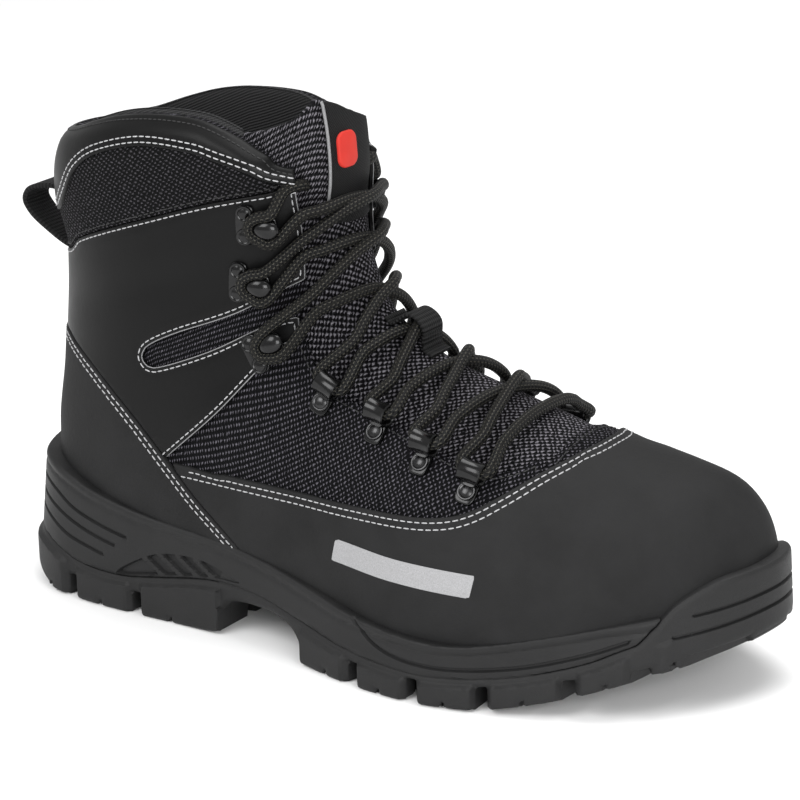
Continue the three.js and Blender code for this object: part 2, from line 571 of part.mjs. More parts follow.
// Gaps between the lugs: x is a share of LENGTH, slant in degrees
const TREAD_GAPS = table(["x", "slant"], [
  [0.101, -12], [0.206, 0], [0.564, 14], [0.652, 10], [0.739, 4], [0.835, -8], [0.908, -18], [0.962, -26],
]);
const CHEVRONS = [0.055, 0.150, 0.255, 0.555, 0.650, 0.750, 0.850];
const CHEVRON_SLANT = 24;
const CHEVRON_OVERLAP = 1.1; // how much longer each arm is than half the way across
const GAP_WIDTH = 3.4;       // across a tread gap
const SOLE_FLOOR = 3;        // least rubber between a tread gap and the board
const LUG_REACH = 20;        // length of a lug from the sole's edge
const HEEL_BREAST = 0.340 * LENGTH;
const FORE_START = 0.480 * LENGTH;

function slit(x, y, length, slant, width = GAP_WIDTH) {
  const box = new THREE.BoxGeometry(width, length, 2 * SPAN);
  box.rotateZ(THREE.MathUtils.degToRad(slant));
  box.translate(x, y, 0);
  return toSolid(box);
}

// How far across the sole reaches at x. The line from the heel tip to the toe tip parts the two sides.
const TIP_SLOPE = (TOE_TIP.y * ACROSS[BALL]) / (TOE_TIP.x * LENGTH);
function outlineAt(x, outerSide) {
  const side = SOLE_PATH.filter((p) => outerSide === p.y < p.x * TIP_SLOPE).sort((a, b) => a.x - b.x);
  return heightAt(side.map((p) => [p.x, p.y]), x);
}

function treadCuts() {
  const cuts = [];
  for (const { x, slant } of TREAD_GAPS) {
    cuts.push(slit(x * LENGTH, outlineAt(x * LENGTH, true), 2 * LUG_REACH, slant));
    cuts.push(slit(x * LENGTH + SKEW, outlineAt(x * LENGTH + SKEW, false), 2 * LUG_REACH, -slant));
  }
  for (const x of CHEVRONS) {
    const low = outlineAt(x * LENGTH, true) + LUG_REACH;
    const high = outlineAt(x * LENGTH, false) - LUG_REACH;
    const half = (high - low) / 2;
    cuts.push(slit(x * LENGTH, low + half / 2, half * CHEVRON_OVERLAP, CHEVRON_SLANT));
    cuts.push(slit(x * LENGTH, high - half / 2, half * CHEVRON_OVERLAP, -CHEVRON_SLANT));
  }
  const ring = (inset) => upright(insetPath(inset).map((p) => [p.x, p.y]), -SPAN, SPAN);
  cuts.push(ring(LUG_REACH).subtract(ring(LUG_REACH + GAP_WIDTH)));
  const heelLayer = [
    [-SPAN, -SPAN], [-SPAN, TREAD_DEPTH], [HEEL_BREAST, TREAD_DEPTH], [HEEL_BREAST, -SPAN],
  ];
  const fore = GROUND.filter(([x]) => x > FORE_START)
    .map(([x, z]) => [x, Math.min(z + TREAD_DEPTH, heightAt(BOARD, x) - SOLE_FLOOR)]);
  const foreLayer = [[FORE_START, -SPAN], [FORE_START, TREAD_DEPTH], ...fore, [lastOf(fore)[0], -SPAN]];
  return joined(cuts).intersect(sideways(heelLayer).add(sideways(foreLayer)));
}

function makeOutsole() {
  const under = sideways(below(shifted(PARTING, 0, -GAP / 2)));
  const frontX = BUMPER_EDGE[0][0] + GAP / 2;
  const edge = shifted(BUMPER_EDGE, GAP / 2, -GAP / 2);
  const bumper = sideways([[frontX, -SPAN], ...edge, [SPAN, lastOf(edge)[1]], [SPAN, -SPAN]]);
  const body = sole.intersect(under.add(bumper)).intersect(sideways(above(GROUND)));
  const cut = body.subtract(cup).subtract(treadCuts()).subtract(joined(BUMPER_LINES.map(sideLine)));
  return largest(cut);
}

// Lace hardware: row and turn place it on the last, as in lastPoint, on the outer side. twist is how many
// degrees it is turned towards the collar, seat the height of its plate over the last, and ridge the
// height of the lace's middle over the last where the strands that start there cross the tongue.
const RING_SEAT = 0.8;       // lifts a flat ring plate clear of the curved upper
const HOOK_SEAT = GAP + OVERLAY + GAP;
const ON_TONGUE = LACE / 2 + GAP - WALL; // the lace rests on the tongue
const OVER_KEEPER = 1.9;     // from the third ring up the lace lies a little higher
const EYELETS = table(["name", "row", "turn", "kind", "twist", "seat", "ridge"], [
  ["d_ring_1", 7.3, 0.133, "ring", 0, GAP, ON_TONGUE],
  ["d_ring_2", 8.15, 0.128, "ring", 0, RING_SEAT, ON_TONGUE],
  ["d_ring_3", 9.15, 0.127, "ring", 0, RING_SEAT, OVER_KEEPER],
  ["d_ring_4", 10.4, 0.140, "ring", 0, RING_SEAT, OVER_KEEPER],
  ["hook_1", 12.25, 0.158, "hook", -14, HOOK_SEAT, OVER_KEEPER],
  ["hook_2", 14.3, 0.160, "hook", -36, HOOK_SEAT, OVER_KEEPER],
  ["hook_3", 15.75, 0.158, "hook", -25, HOOK_SEAT, OVER_KEEPER],
]);

// Axes of a small frame on the surface: z out of it, y up towards the tongue
const TOWARD = 0.03;
function surfaceFrame(row, turn, height, twist) {
  const outerSide = turn < 0.5;
  const origin = raised(row, turn, height);
  const z = lastNormal(row, turn);
  const toward = lastPoint(row, turn + (outerSide ? -TOWARD : TOWARD)).sub(lastPoint(row, turn));
  const x = new THREE.Vector3().crossVectors(toward, z).normalize();
  const y = new THREE.Vector3().crossVectors(z, x);
  const spin = new THREE.Matrix4().makeRotationZ(THREE.MathUtils.degToRad(outerSide ? twist : -twist));
  return new THREE.Matrix4().makeBasis(x, y, z).setPosition(origin).multiply(spin);
}

const PLATE = 1.1;
function plate(width, length, centreY) {
  const box = new THREE.BoxGeometry(width, length, PLATE);
  return toSolid(box.translate(0, centreY, PLATE / 2));
}

const RIVET_CROWN = 4;       // width of the flat on a rivet's head
const RIVET_LIFT = 1.5;      // middle of the head above the underside of its plate
function rivet(x) {
  const head = new THREE.CylinderGeometry(RIVET_CROWN / 2, RIVET / 2, PLATE, 6).rotateX(Math.PI / 2);
  return toSolid(head.translate(x, 0, RIVET_LIFT));
}

const RING_RADIUS = 3.4;     // of the loop that the lace runs through
const RING_BAR = 1.1;        // half the thickness of its bar
const RING_SPREAD = 2.2;     // how many times wider than thick the bar is
const RING_RISE = 4.06;      // middle of the loop above the underside of the plate
const RING_PLATE = { width: 7, length: 10.6, ahead: 0.8 };
function makeRing() {
  const loop = new THREE.TorusGeometry(RING_RADIUS, RING_BAR, 3, 7).rotateY(Math.PI / 2);
  const wide = toSolid(loop.scale(RING_SPREAD, 1, 1).translate(0, RIVET / 2 + RING_RADIUS, RING_RISE));
  return plate(RING_PLATE.width, RING_PLATE.length, RING_PLATE.ahead).add(rivet(0)).add(wide);
}

// A hook's base carries two rivets. Its arm stands up between them and ends in a knob over the lace.
const HOOK_SPREAD = 4.6;     // from the middle of the base to each rivet
const HOOK_RISE = 4.6;       // middle of the arm above the underside of the base
const HOOK_ARM = 3.8;        // width of the arm
const HOOK_REACH = 9;        // from the rivets to the knob
const HOOK_BASE = { width: 14.8, length: 6.8 };
const KNOB = { radius: 2.7, height: 4 };
const ARM_PROFILE = [
  [-1.2, 0.2], [1.6, 0.2], [2.4, HOOK_RISE - 1], [HOOK_REACH, HOOK_RISE - 1], [HOOK_REACH, HOOK_RISE + 1],
  [0, HOOK_RISE + 1],
];
function makeHook() {
  const base = plate(HOOK_BASE.width, HOOK_BASE.length, 0);
  const buttons = [-HOOK_SPREAD, HOOK_SPREAD].map(rivet);
  const shape = new THREE.Shape(ARM_PROFILE.map(([y, z]) => new THREE.Vector2(y, z)));
  const arm = new THREE.ExtrudeGeometry(shape, { depth: HOOK_ARM, bevelEnabled: false });
  arm.rotateY(Math.PI / 2).rotateX(Math.PI / 2).translate(-HOOK_ARM / 2, 0, 0);
  const knob = new THREE.CylinderGeometry(KNOB.radius, KNOB.radius, KNOB.height, 6).rotateX(Math.PI / 2);
  return joined([base, ...buttons, toSolid(arm), toSolid(knob.translate(0, HOOK_REACH, HOOK_RISE))]);
}

// Half of the lace's way round the tongue is the mirror of the other, so both sides use turn
const LACE_TURNS = { ring: 0.088, hook: 0.104 };
const LACE_EDGE = { ring: 3.1, hook: 4.6 };   // height of the lace's middle over the last at the eyelets
const LACE_SPLIT = { ring: 0.15, hook: 0.24 }; // rows from an eyelet's middle to each of its two strands
const LACE_SIDES = 5;
const LACE_STEPS = 5;
function laceStrand(from, to, fromOuter) {
  const way = fromOuter ? 1 : -1;
  const start = { row: from.row + LACE_SPLIT[from.kind], turn: way * LACE_TURNS[from.kind] };
  const end = { row: to.row - LACE_SPLIT[to.kind], turn: -way * LACE_TURNS[to.kind] };
  if (from === to) start.row = end.row;
  const points = Array.from({ length: LACE_STEPS + 1 }, (_, i) => {
    const s = i / LACE_STEPS;
    const row = THREE.MathUtils.lerp(start.row, end.row, s);
    const turn = THREE.MathUtils.lerp(start.turn, end.turn, s);
    const edge = THREE.MathUtils.lerp(LACE_EDGE[from.kind], LACE_EDGE[to.kind], s);
    const lift = edge + (from.ridge - edge) * Math.sin(Math.PI * s) ** 2;
    return raised(row, (turn + 1) % 1, lift);
  });
  const path = new THREE.CatmullRomCurve3(points, false, "centripetal");
  const circle = new THREE.EllipseCurve(0, 0, LACE / 2, LACE / 2).getPoints(LACE_SIDES).slice(0, -1);
  const how = { steps: LACE_STEPS, extrudePath: path, bevelEnabled: false };
  return toSolid(new THREE.ExtrudeGeometry(new THREE.Shape(circle), how));
}

function laceCrossings() {
  const pieces = { lace_bar: laceStrand(EYELETS[0], EYELETS[0], true) };
  for (let i = 0; i + 1 < EYELETS.length; i++) {
    const up = laceStrand(EYELETS[i], EYELETS[i + 1], true);
    pieces[`lace_cross_${i + 1}`] = up.add(laceStrand(EYELETS[i], EYELETS[i + 1], false));
  }
  return pieces;
}

// Webbing loop behind the collar, for pulling the boot on: sewn on at two rows of the last
const LOOP_ROWS = { top: 17.15, foot: 16.42 };
const LOOP_REACH = 21;       // how far it stands out
// Its spine: x is a share of LOOP_REACH, z of the height from its foot to its top
const LOOP_SPINE = [
  [0, 0], [-0.45, 0.02], [-0.9, -0.10], [-1, -0.30], [-0.85, -0.52], [-0.45, -0.78], [0, -1],
];
const LOOP_MIDDLE = [-0.45, -0.42];
function makePullLoop() {
  const seat = (row) => {
    const p = lastPoint(row, 0.5);
    return [p.x - Math.max(padHeight(p), GAP + OVERLAY) - GAP, p.z];
  };
  const [topX, topZ] = seat(LOOP_ROWS.top);
  const [footX, footZ] = seat(LOOP_ROWS.foot);
  const at = ([x, z]) => [topX - z * (footX - topX) + x * LOOP_REACH, topZ + z * (topZ - footZ)];
  const outer = LOOP_SPINE.map(at);
  const middle = at(LOOP_MIDDLE);
  const inner = outer.map(([x, z]) => {
    const away = Math.hypot(middle[0] - x, middle[1] - z);
    return [x + ((middle[0] - x) * WEBBING) / away, z + ((middle[1] - z) * WEBBING) / away];
  });
  return sideways([...outer, ...inner.reverse()], -LOOP_WIDTH / 2, LOOP_WIDTH / 2);
}

// Webbing keeper sewn along the ridge of the tongue and arched over the lace: its rows on the last, and
// 0 where it lies on the tongue, 1 where it passes over the lace
const KEEPER = 1.2;          // its thickness
const KEEPER_ROWS = table(["row", "up"], [[9.15, 0], [9.38, 0], [9.58, 1], [9.98, 1], [10.2, 0], [10.42, 0]]);
const KEEPER_SEAT = 0.6;     // clears the flat facets where the ridge is hollow
function makeKeeper() {
  const low = KEEPER_SEAT - WALL;
  const high = OVER_KEEPER + LACE / 2 + 2 * GAP;
  const edge = (thickness) => KEEPER_ROWS.map(({ row, up }) => {
    const p = raised(row, 0, low + (high - low) * up + thickness);
    return [p.x, p.z];
  });
  const middle = lastPoint(KEEPER_ROWS[2].row, 0).y;
  const outline = [...edge(0), ...edge(KEEPER).reverse()];
  return sideways(outline, middle - KEEPER_WIDTH / 2, middle + KEEPER_WIDTH / 2);
}

// Materials
function finish(color, roughness, metalness = 0) {
  return new THREE.MeshStandardMaterial({ color, roughness, metalness });
}
const MATERIALS = {
  rubber: finish(0x242426, 0.62),
  foam: finish(0x2b2b2d, 0.66),
  mesh: finish(0x26252a, 0.9),
  nubuck: finish(0x2a2a2c, 0.8),
  leather: finish(0x232326, 0.5),
  lining: finish(0x1d1d1e, 0.92),
  webbing: finish(0x1b1b1c, 0.85),
  lace: finish(0x1c1c1a, 0.7),
  metal: finish(0x1a1a1b, 0.35, 0.8),
};

const boot = new THREE.Group();
const model = new THREE.Group();
boot.add(model);

function addPiece(name, solid, material) {
  const mesh = new THREE.Mesh(toGeometry(solid), MATERIALS[material]);
  mesh.name = name;
  model.add(mesh);
  return mesh;
}

addPiece("outsole", makeOutsole(), "rubber");
addPiece("midsole", makeMidsole(), "foam");
addPiece("insole", makeInsole(), "lining");
addPiece("upper", makeUpper(), "mesh");
addPiece("rand", makeRand(), "nubuck");
addPiece("heel_counter", makeHeelCounter(), "nubuck");
for (const [name, solid] of Object.entries(makeAnklePanels())) addPiece(name, solid, "leather");
addPiece("padded_collar", makeCollar(), "leather");
addPiece("collar_lining", makeLining(), "lining");
addPiece("tongue", makeTongue(), "mesh");
addPiece("tongue_panel", makeTonguePanel(), "webbing");
addPiece("pull_loop", makePullLoop(), "webbing");
addPiece("lace_keeper", makeKeeper(), "webbing");

const ringBody = makeRing();
const hookBody = makeHook();
for (const { name, row, turn, kind, twist, seat } of EYELETS) {
  for (const [side, sideTurn] of [["outer", turn], ["inner", 1 - turn]]) {
    const mesh = addPiece(`${name}_${side}`, kind === "hook" ? hookBody : ringBody, "metal");
    mesh.applyMatrix4(surfaceFrame(row, sideTurn, seat, twist));
  }
}
for (const [name, solid] of Object.entries(laceCrossings())) addPiece(name, solid, "lace");

// The origin is under the middle of the boot, on the floor
const box = new THREE.Box3().setFromObject(model);
model.position.set(-(box.min.x + box.max.x) / 2, -(box.min.y + box.max.y) / 2, -box.min.z);

export default boot;
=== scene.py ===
"""The looks of a right-foot wading boot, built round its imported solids.

Lengths are in millimetres in the boot's own frame: x from the heel's end to the toe, y to the inner side,
z up from the floor. Everything becomes metres in the row frame when a mesh is made.
"""

import math

import bmesh
import bpy
import numpy as np
from mathutils import Matrix, Vector
from mathutils.bvhtree import BVHTree


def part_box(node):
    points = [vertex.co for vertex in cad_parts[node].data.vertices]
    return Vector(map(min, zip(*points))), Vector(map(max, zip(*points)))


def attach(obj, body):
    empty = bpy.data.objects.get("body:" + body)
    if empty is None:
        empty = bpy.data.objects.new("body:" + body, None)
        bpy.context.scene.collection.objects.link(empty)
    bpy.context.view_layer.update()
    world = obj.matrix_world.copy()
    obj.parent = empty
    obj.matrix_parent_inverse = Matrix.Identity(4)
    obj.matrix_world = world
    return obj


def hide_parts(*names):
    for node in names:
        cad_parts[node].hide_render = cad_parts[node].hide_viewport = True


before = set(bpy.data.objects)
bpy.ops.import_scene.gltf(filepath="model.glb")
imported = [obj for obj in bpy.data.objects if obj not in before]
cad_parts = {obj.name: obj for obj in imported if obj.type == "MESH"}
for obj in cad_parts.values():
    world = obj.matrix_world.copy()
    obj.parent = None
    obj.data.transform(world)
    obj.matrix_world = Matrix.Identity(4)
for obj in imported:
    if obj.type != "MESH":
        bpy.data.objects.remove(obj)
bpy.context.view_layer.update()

# Driving sizes, the same as the solids have
LENGTH = 312.0
BALL_WIDTH = 117.0
HEEL_WIDTH = 83.0
TOE_HEIGHT = 77.0
INSTEP_HEIGHT = 112.0
SHAFT_HEIGHT = 190.0
HEEL_LIFT = 30.0
BALL_LIFT = 16.0
WALL = 2.4
GAP = 0.3
OVERLAY = 1.5
TONGUE = 4.0
LINING = 3.0
LINING_RISE = 1.5
PAD = 6.5
PAD_EDGE = 1.2
GROOVE_DEPTH = 1.1
SOLE_TAPER = 4.5
LACE = 4.4
WEBBING = 2.0
LOOP_WIDTH = 15.0
KEEPER_WIDTH = 13.0
COLLAR_TILT = -3.0
MM = 0.001

TOE, INSTEP, SHAFT, FLOOR, HEEL, BALL = "toe", "instep", "shaft", "floor", "heel", "ball"
HEIGHTS = {
    TOE: TOE_HEIGHT, INSTEP: INSTEP_HEIGHT, SHAFT: SHAFT_HEIGHT,
    FLOOR: 1.0, HEEL: HEEL_LIFT, BALL: BALL_LIFT,
}
# A distance larger than any that is cut to
FAR = 99.0

# Sections of the last: see the names of the columns. X columns are shares of LENGTH, Z columns of the named
# height, widths of BALL_WIDTH.
LAST_COLUMNS = ("topX", "topZ", "rise", "footX", "footZ", "fall", "mid", "outer", "inner", "belly",
                "topPower", "footPower")
LAST_ROWS = [
    (0.9800, 0.530, TOE, 0.9800, 0.42, TOE, 0.128, 0.004, 0.004, 0.55, 2.20, 2.60),
    (0.9765, 0.700, TOE, 0.9770, 0.30, TOE, 0.128, 0.095, 0.085, 0.58, 2.30, 2.80),
    (0.9680, 0.800, TOE, 0.9670, 0.24, TOE, 0.127, 0.164, 0.143, 0.62, 2.30, 3.00),
    (0.9520, 0.900, TOE, 0.9500, 0.20, TOE, 0.121, 0.236, 0.197, 0.64, 2.30, 3.00),
    (0.9230, 0.985, TOE, 0.9170, 0.16, TOE, 0.108, 0.315, 0.255, 0.66, 2.30, 3.00),
    (0.8720, 1.045, TOE, 0.8590, 0.11, TOE, 0.085, 0.405, 0.322, 0.70, 2.25, 3.00),
    (0.8010, 1.110, TOE, 0.7790, 0.07, TOE, 0.066, 0.480, 0.370, 0.72, 2.15, 3.00),
    (0.7240, 0.850, INSTEP, 0.6890, 0.05, INSTEP, 0.046, 0.510, 0.372, 0.74, 2.05, 3.00),
    (0.6500, 0.930, INSTEP, 0.5990, 0.06, INSTEP, 0.028, 0.500, 0.322, 0.74, 1.95, 3.00),
    (0.5830, 1.000, INSTEP, 0.5060, 0.08, INSTEP, 0.015, 0.437, 0.270, 0.72, 1.85, 3.00),
    (0.5310, 1.080, INSTEP, 0.4000, 0.10, INSTEP, 0.008, 0.380, 0.282, 0.68, 1.80, 3.00),
    (0.5000, 0.685, SHAFT, 0.2820, 0.08, SHAFT, 0.004, 0.350, 0.308, 0.60, 1.85, 3.00),
    (0.4860, 0.740, SHAFT, 0.1440, 0.09, SHAFT, 0.000, 0.333, 0.320, 0.56, 1.95, 2.80),
    (0.4790, 0.785, SHAFT, 0.0480, 0.17, SHAFT, 0.000, 0.324, 0.318, 0.54, 2.05, 2.50),
    (0.4740, 0.830, SHAFT, 0.0320, 0.31, SHAFT, 0.000, 0.318, 0.314, 0.54, 2.10, 2.25),
    (0.4670, 0.875, SHAFT, 0.0430, 0.46, SHAFT, 0.000, 0.312, 0.308, 0.54, 2.30, 2.15),
    (0.4680, 0.925, SHAFT, 0.0510, 0.63, SHAFT, 0.000, 0.308, 0.306, 0.54, 2.50, 2.10),
    (0.4660, 0.980, SHAFT, 0.0560, 0.79, SHAFT, 0.000, 0.303, 0.301, 0.54, 2.70, 2.10),
    (0.4620, 1.040, SHAFT, 0.0660, 0.94, SHAFT, 0.000, 0.292, 0.290, 0.54, 2.80, 2.10),
    (0.4520, 1.130, SHAFT, 0.0800, 1.10, SHAFT, 0.000, 0.280, 0.278, 0.54, 2.80, 2.10),
]
LAST_SCALE = {"topX": LENGTH, "footX": LENGTH, "mid": BALL_WIDTH, "outer": BALL_WIDTH, "inner": BALL_WIDTH}


def last_table():
    columns = {}
    for i, name in enumerate(LAST_COLUMNS):
        if name in ("rise", "fall"):
            continue
        values = [row[i] * LAST_SCALE.get(name, 1.0) for row in LAST_ROWS]
        if name in ("topZ", "footZ"):
            values = [row[i] * HEIGHTS[row[i + 1]] for row in LAST_ROWS]
        columns[name] = np.array(values)
    return columns


LAST = last_table()


def blend(a, b, c, d, f):
    """Catmull-Rom: from b at f = 0 to c at f = 1."""
    return b + 0.5 * f * (c - a + f * (2 * a - 5 * b + 4 * c - d + f * (3 * (b - c) + d - a)))


def read_row(values, t):
    """Catmull-Rom through the rows; t may be an array and hold fractions."""
    last = len(values) - 1
    i = np.clip(np.floor(t).astype(int), 0, last - 1)
    f = t - i
    return blend(*(values[np.clip(i + k, 0, last)] for k in (-1, 0, 1, 2)), f)


def last_point(t, turn):
    """Points on the last. turn is 0 on the ridge, grows to 0.5 down the outer side, negative inside."""
    t, turn = np.broadcast_arrays(np.asarray(t, float), np.asarray(turn, float))
    row = {name: read_row(values, t) for name, values in LAST.items()}
    angle = 2 * np.pi * turn
    before = np.cos(angle) >= 0
    power = 2 / np.where(before, row["topPower"], row["footPower"])
    along = np.sign(np.cos(angle)) * np.abs(np.cos(angle)) ** power
    across = np.abs(np.sin(angle)) ** power
    belly = row["belly"]
    share = np.where(before, belly * (1 - along), belly - (1 - belly) * along)
    y = row["mid"] + across * np.where(np.sin(angle) >= 0, -row["outer"], row["inner"])
    x = row["topX"] + share * (row["footX"] - row["topX"])
    z = row["topZ"] + share * (row["footZ"] - row["topZ"])
    return np.stack([x, y, z], -1)


NORMAL_STEP = 0.01


def unit(v):
    return v / np.maximum(np.linalg.norm(v, axis=-1, keepdims=True), 1e-9)


def reach_of(points):
    """The length along a run up to each of its points."""
    return np.concatenate([[0], np.cumsum(np.linalg.norm(np.diff(points, axis=0), axis=1))])


def pick_at(where, reach, data):
    """Values of the data at given lengths along the run."""
    return np.stack([np.interp(where, reach, data[:, k]) for k in range(3)], -1)


def quarter(distance, reach):
    """0 at an edge and 1 a reach away from it, along a quarter of a circle."""
    f = np.clip(distance / reach, 0, 1)
    return np.sqrt(np.maximum(1 - (1 - f) ** 2, 0))


def grid_quads(rows, cols):
    corner = (np.arange(rows - 1)[:, None] * cols + np.arange(cols - 1)[None, :]).ravel()
    return np.stack([corner, corner + cols, corner + cols + 1, corner + 1], 1)


def last_normal(t, turn):
    low = np.maximum(np.asarray(t, float) - NORMAL_STEP, 0.0)
    along = last_point(t, turn + NORMAL_STEP) - last_point(t, turn - NORMAL_STEP)
    across = last_point(low + 2 * NORMAL_STEP, turn) - last_point(low, turn)
    return unit(np.cross(across, along))


def raised(t, turn, height):
    return last_point(t, turn) + last_normal(t, turn) * np.asarray(height)[..., None]


# Curves seen from the side


def smooth_curve(points, per=8, closed=False):
    """A round curve through the points, dense enough to draw with."""
    points = np.asarray(points, float)
    count = len(points)
    spans = count if closed else count - 1
    pick = (lambda k: points[k % count]) if closed else (lambda k: points[min(max(k, 0), count - 1)])
    out = []
    for i in range(spans):
        f = np.linspace(0, 1, per, endpoint=False)[:, None]
        out.append(blend(*(pick(i + k) for k in (-1, 0, 1, 2)), f))
    out = np.concatenate(out)
    return out if closed else np.vstack([out, points[-1]])


def side(*parts):
    """A side curve. Each part names a height, then has rows: a share of LENGTH and one of that height."""
    return np.array([(x * LENGTH, z * HEIGHTS[name]) for name, *rows in parts for x, z in rows])


RAND_SEAM = side(
    (INSTEP, (0.200, 0.575), (0.277, 0.575), (0.385, 0.572), (0.510, 0.570), (0.615, 0.583),
     (0.668, 0.596), (0.701, 0.622), (0.732, 0.673), (0.760, 0.727), (0.783, 0.765), (0.797, 0.795),
     (0.803, 0.900)),
)
COUNTER_SEAM = side(
    (SHAFT, (-0.060, 0.550), (0.065, 0.547), (0.098, 0.537), (0.147, 0.499), (0.186, 0.453),
     (0.218, 0.409), (0.248, 0.363), (0.278, 0.316), (0.308, 0.270), (0.340, 0.228), (0.400, 0.150)),
)
QUARTER_FRONT = side(
    (SHAFT, (0.190, 0.250), (0.264, 0.352), (0.339, 0.460), (0.403, 0.575), (0.440, 0.612),
     (0.560, 0.660)),
)
COLLAR_SEAM = side(
    (SHAFT, (-0.060, 0.700), (0.075, 0.715), (0.119, 0.757), (0.175, 0.795), (0.249, 0.837),
     (0.327, 0.878), (0.399, 0.907), (0.436, 0.918), (0.600, 0.920)),
)
WINDOW_TOP = side(
    (SHAFT, (-0.060, 0.775), (0.045, 0.778), (0.080, 0.795), (0.110, 0.842), (0.141, 0.905),
     (0.179, 0.947), (0.244, 0.979), (0.314, 0.979), (0.346, 0.968), (0.385, 0.950), (0.426, 0.921),
     (0.600, 0.860)),
)
COLLAR_TOP = side(
    (SHAFT, (-0.060, 0.950), (0.060, 0.953), (0.110, 0.969), (0.158, 0.996), (0.204, 1.017),
     (0.258, 1.029), (0.313, 1.029), (0.345, 1.017), (0.376, 0.996), (0.402, 0.972), (0.436, 0.945),
     (0.600, 0.945)),
)
THROAT_EDGE = side(
    (SHAFT, (0.430, 1.300), (0.430, 0.960), (0.433, 0.810), (0.436, 0.720), (0.433, 0.670),
     (0.441, 0.615)),
    (INSTEP, (0.481, 0.905), (0.566, 0.830), (0.635, 0.780), (0.692, 0.733), (0.724, 0.735),
     (0.750, 0.765), (0.764, 0.820), (0.768, 1.700)),
)
TONGUE_EDGE = side(
    (SHAFT, (0.370, 1.300), (0.370, 0.900), (0.394, 0.790), (0.408, 0.680), (0.423, 0.590)),
    (INSTEP, (0.470, 0.850), (0.555, 0.770), (0.630, 0.715), (0.690, 0.665), (0.735, 0.660),
     (0.780, 0.715), (0.790, 1.700)),
)
SLOT = side(
    (SHAFT, (0.520, 0.790), (0.434, 0.731), (0.362, 0.663), (0.282, 0.609), (0.240, 0.574),
     (0.229, 0.552), (0.233, 0.536), (0.251, 0.532), (0.326, 0.581), (0.390, 0.637), (0.423, 0.658),
     (0.520, 0.690)),
)
FEATHER = side(
    (HEEL, (-0.060, 1.850), (0.020, 1.820), (0.083, 1.690), (0.144, 1.510), (0.224, 1.350),
     (0.304, 1.267), (0.369, 1.210), (0.471, 1.050)),
    (BALL, (0.561, 1.656), (0.657, 1.469), (0.724, 1.520), (0.824, 1.938), (0.872, 2.156),
     (0.960, 2.500), (1.060, 2.900)),
)
BUMPER_EDGE = side(
    (BALL, (0.850, 1.100), (0.880, 1.400), (0.901, 1.720), (0.918, 2.120), (0.938, 2.640),
     (0.962, 2.980), (0.988, 3.140), (1.060, 3.200)),
)
PARTING = side(
    (HEEL, (-0.060, 0.800), (0.030, 0.740), (0.074, 0.630), (0.112, 0.510), (0.176, 0.470),
     (0.240, 0.560), (0.324, 0.700), (0.400, 0.690), (0.455, 0.600)),
    (BALL, (0.532, 0.860), (0.590, 0.740), (0.654, 0.690), (0.715, 0.750), (0.785, 0.950),
     (0.853, 1.330), (0.901, 1.750), (1.060, 3.000)),
)
BOARD = side(
    (HEEL, (-0.060, 1.000), (0.270, 1.000), (0.350, 0.920), (0.449, 0.767)),
    (BALL, (0.545, 1.188), (0.641, 1.000), (0.737, 1.000), (0.801, 1.030), (0.865, 1.190),
     (0.913, 1.406), (0.962, 1.690), (1.060, 2.100)),
)
GROUND = side(
    (HEEL, (-0.060, 0.700), (0.006, 0.400), (0.028, 0.190), (0.055, 0.060)),
    (FLOOR, (0.085, 0), (0.314, 0)),
    (HEEL, (0.333, 0.150), (0.346, 0.420), (0.375, 0.510), (0.430, 0.500), (0.460, 0.380),
     (0.478, 0.140)),
    (FLOOR, (0.490, 0), (0.705, 0)),
    (BALL, (0.766, 0.140), (0.827, 0.430), (0.872, 0.710), (0.913, 0.990), (0.955, 1.240),
     (0.985, 1.430), (1.060, 2.050)),
)
HEEL_LINES = [
    side(
        (HEEL, (-0.060, 1.560), (0.020, 1.520), (0.070, 1.400), (0.106, 1.230), (0.151, 1.100),
         (0.192, 1.010)),
    ),
    side(
        (HEEL, (-0.060, 1.360), (0.020, 1.310), (0.064, 1.190), (0.106, 1.040), (0.141, 0.940),
         (0.173, 0.870)),
    ),
    side(
        (HEEL, (-0.060, 1.170), (0.018, 1.110), (0.058, 0.990), (0.096, 0.840), (0.131, 0.760),
         (0.154, 0.710)),
    ),
]
FORE_LINE = side(
    (BALL, (0.555, 1.880), (0.562, 1.720), (0.571, 1.530), (0.593, 1.190), (0.622, 1.000),
     (0.663, 0.920), (0.715, 0.950), (0.785, 1.150), (0.853, 1.520), (0.895, 1.850)),
)
BUMPER_LINES = [
    side(
        (BALL, (0.953, 2.375), (0.987, 2.500), (1.060, 2.800)),
    ),
    side(
        (BALL, (0.937, 1.900), (0.978, 2.060), (1.060, 2.450)),
    ),
]
ARCH_PANEL = side(
    (HEEL, (0.176, 0.500), (0.221, 0.800), (0.260, 0.920), (0.308, 0.940), (0.345, 0.860),
     (0.372, 0.770), (0.324, 0.740), (0.240, 0.600)),
)
ARCH_RIBS = [(0.236, 0.700), (0.262, 0.770), (0.290, 0.800), (0.318, 0.810)]
RIB_LENGTH = 14.0
RIB_SLOPE = -0.62

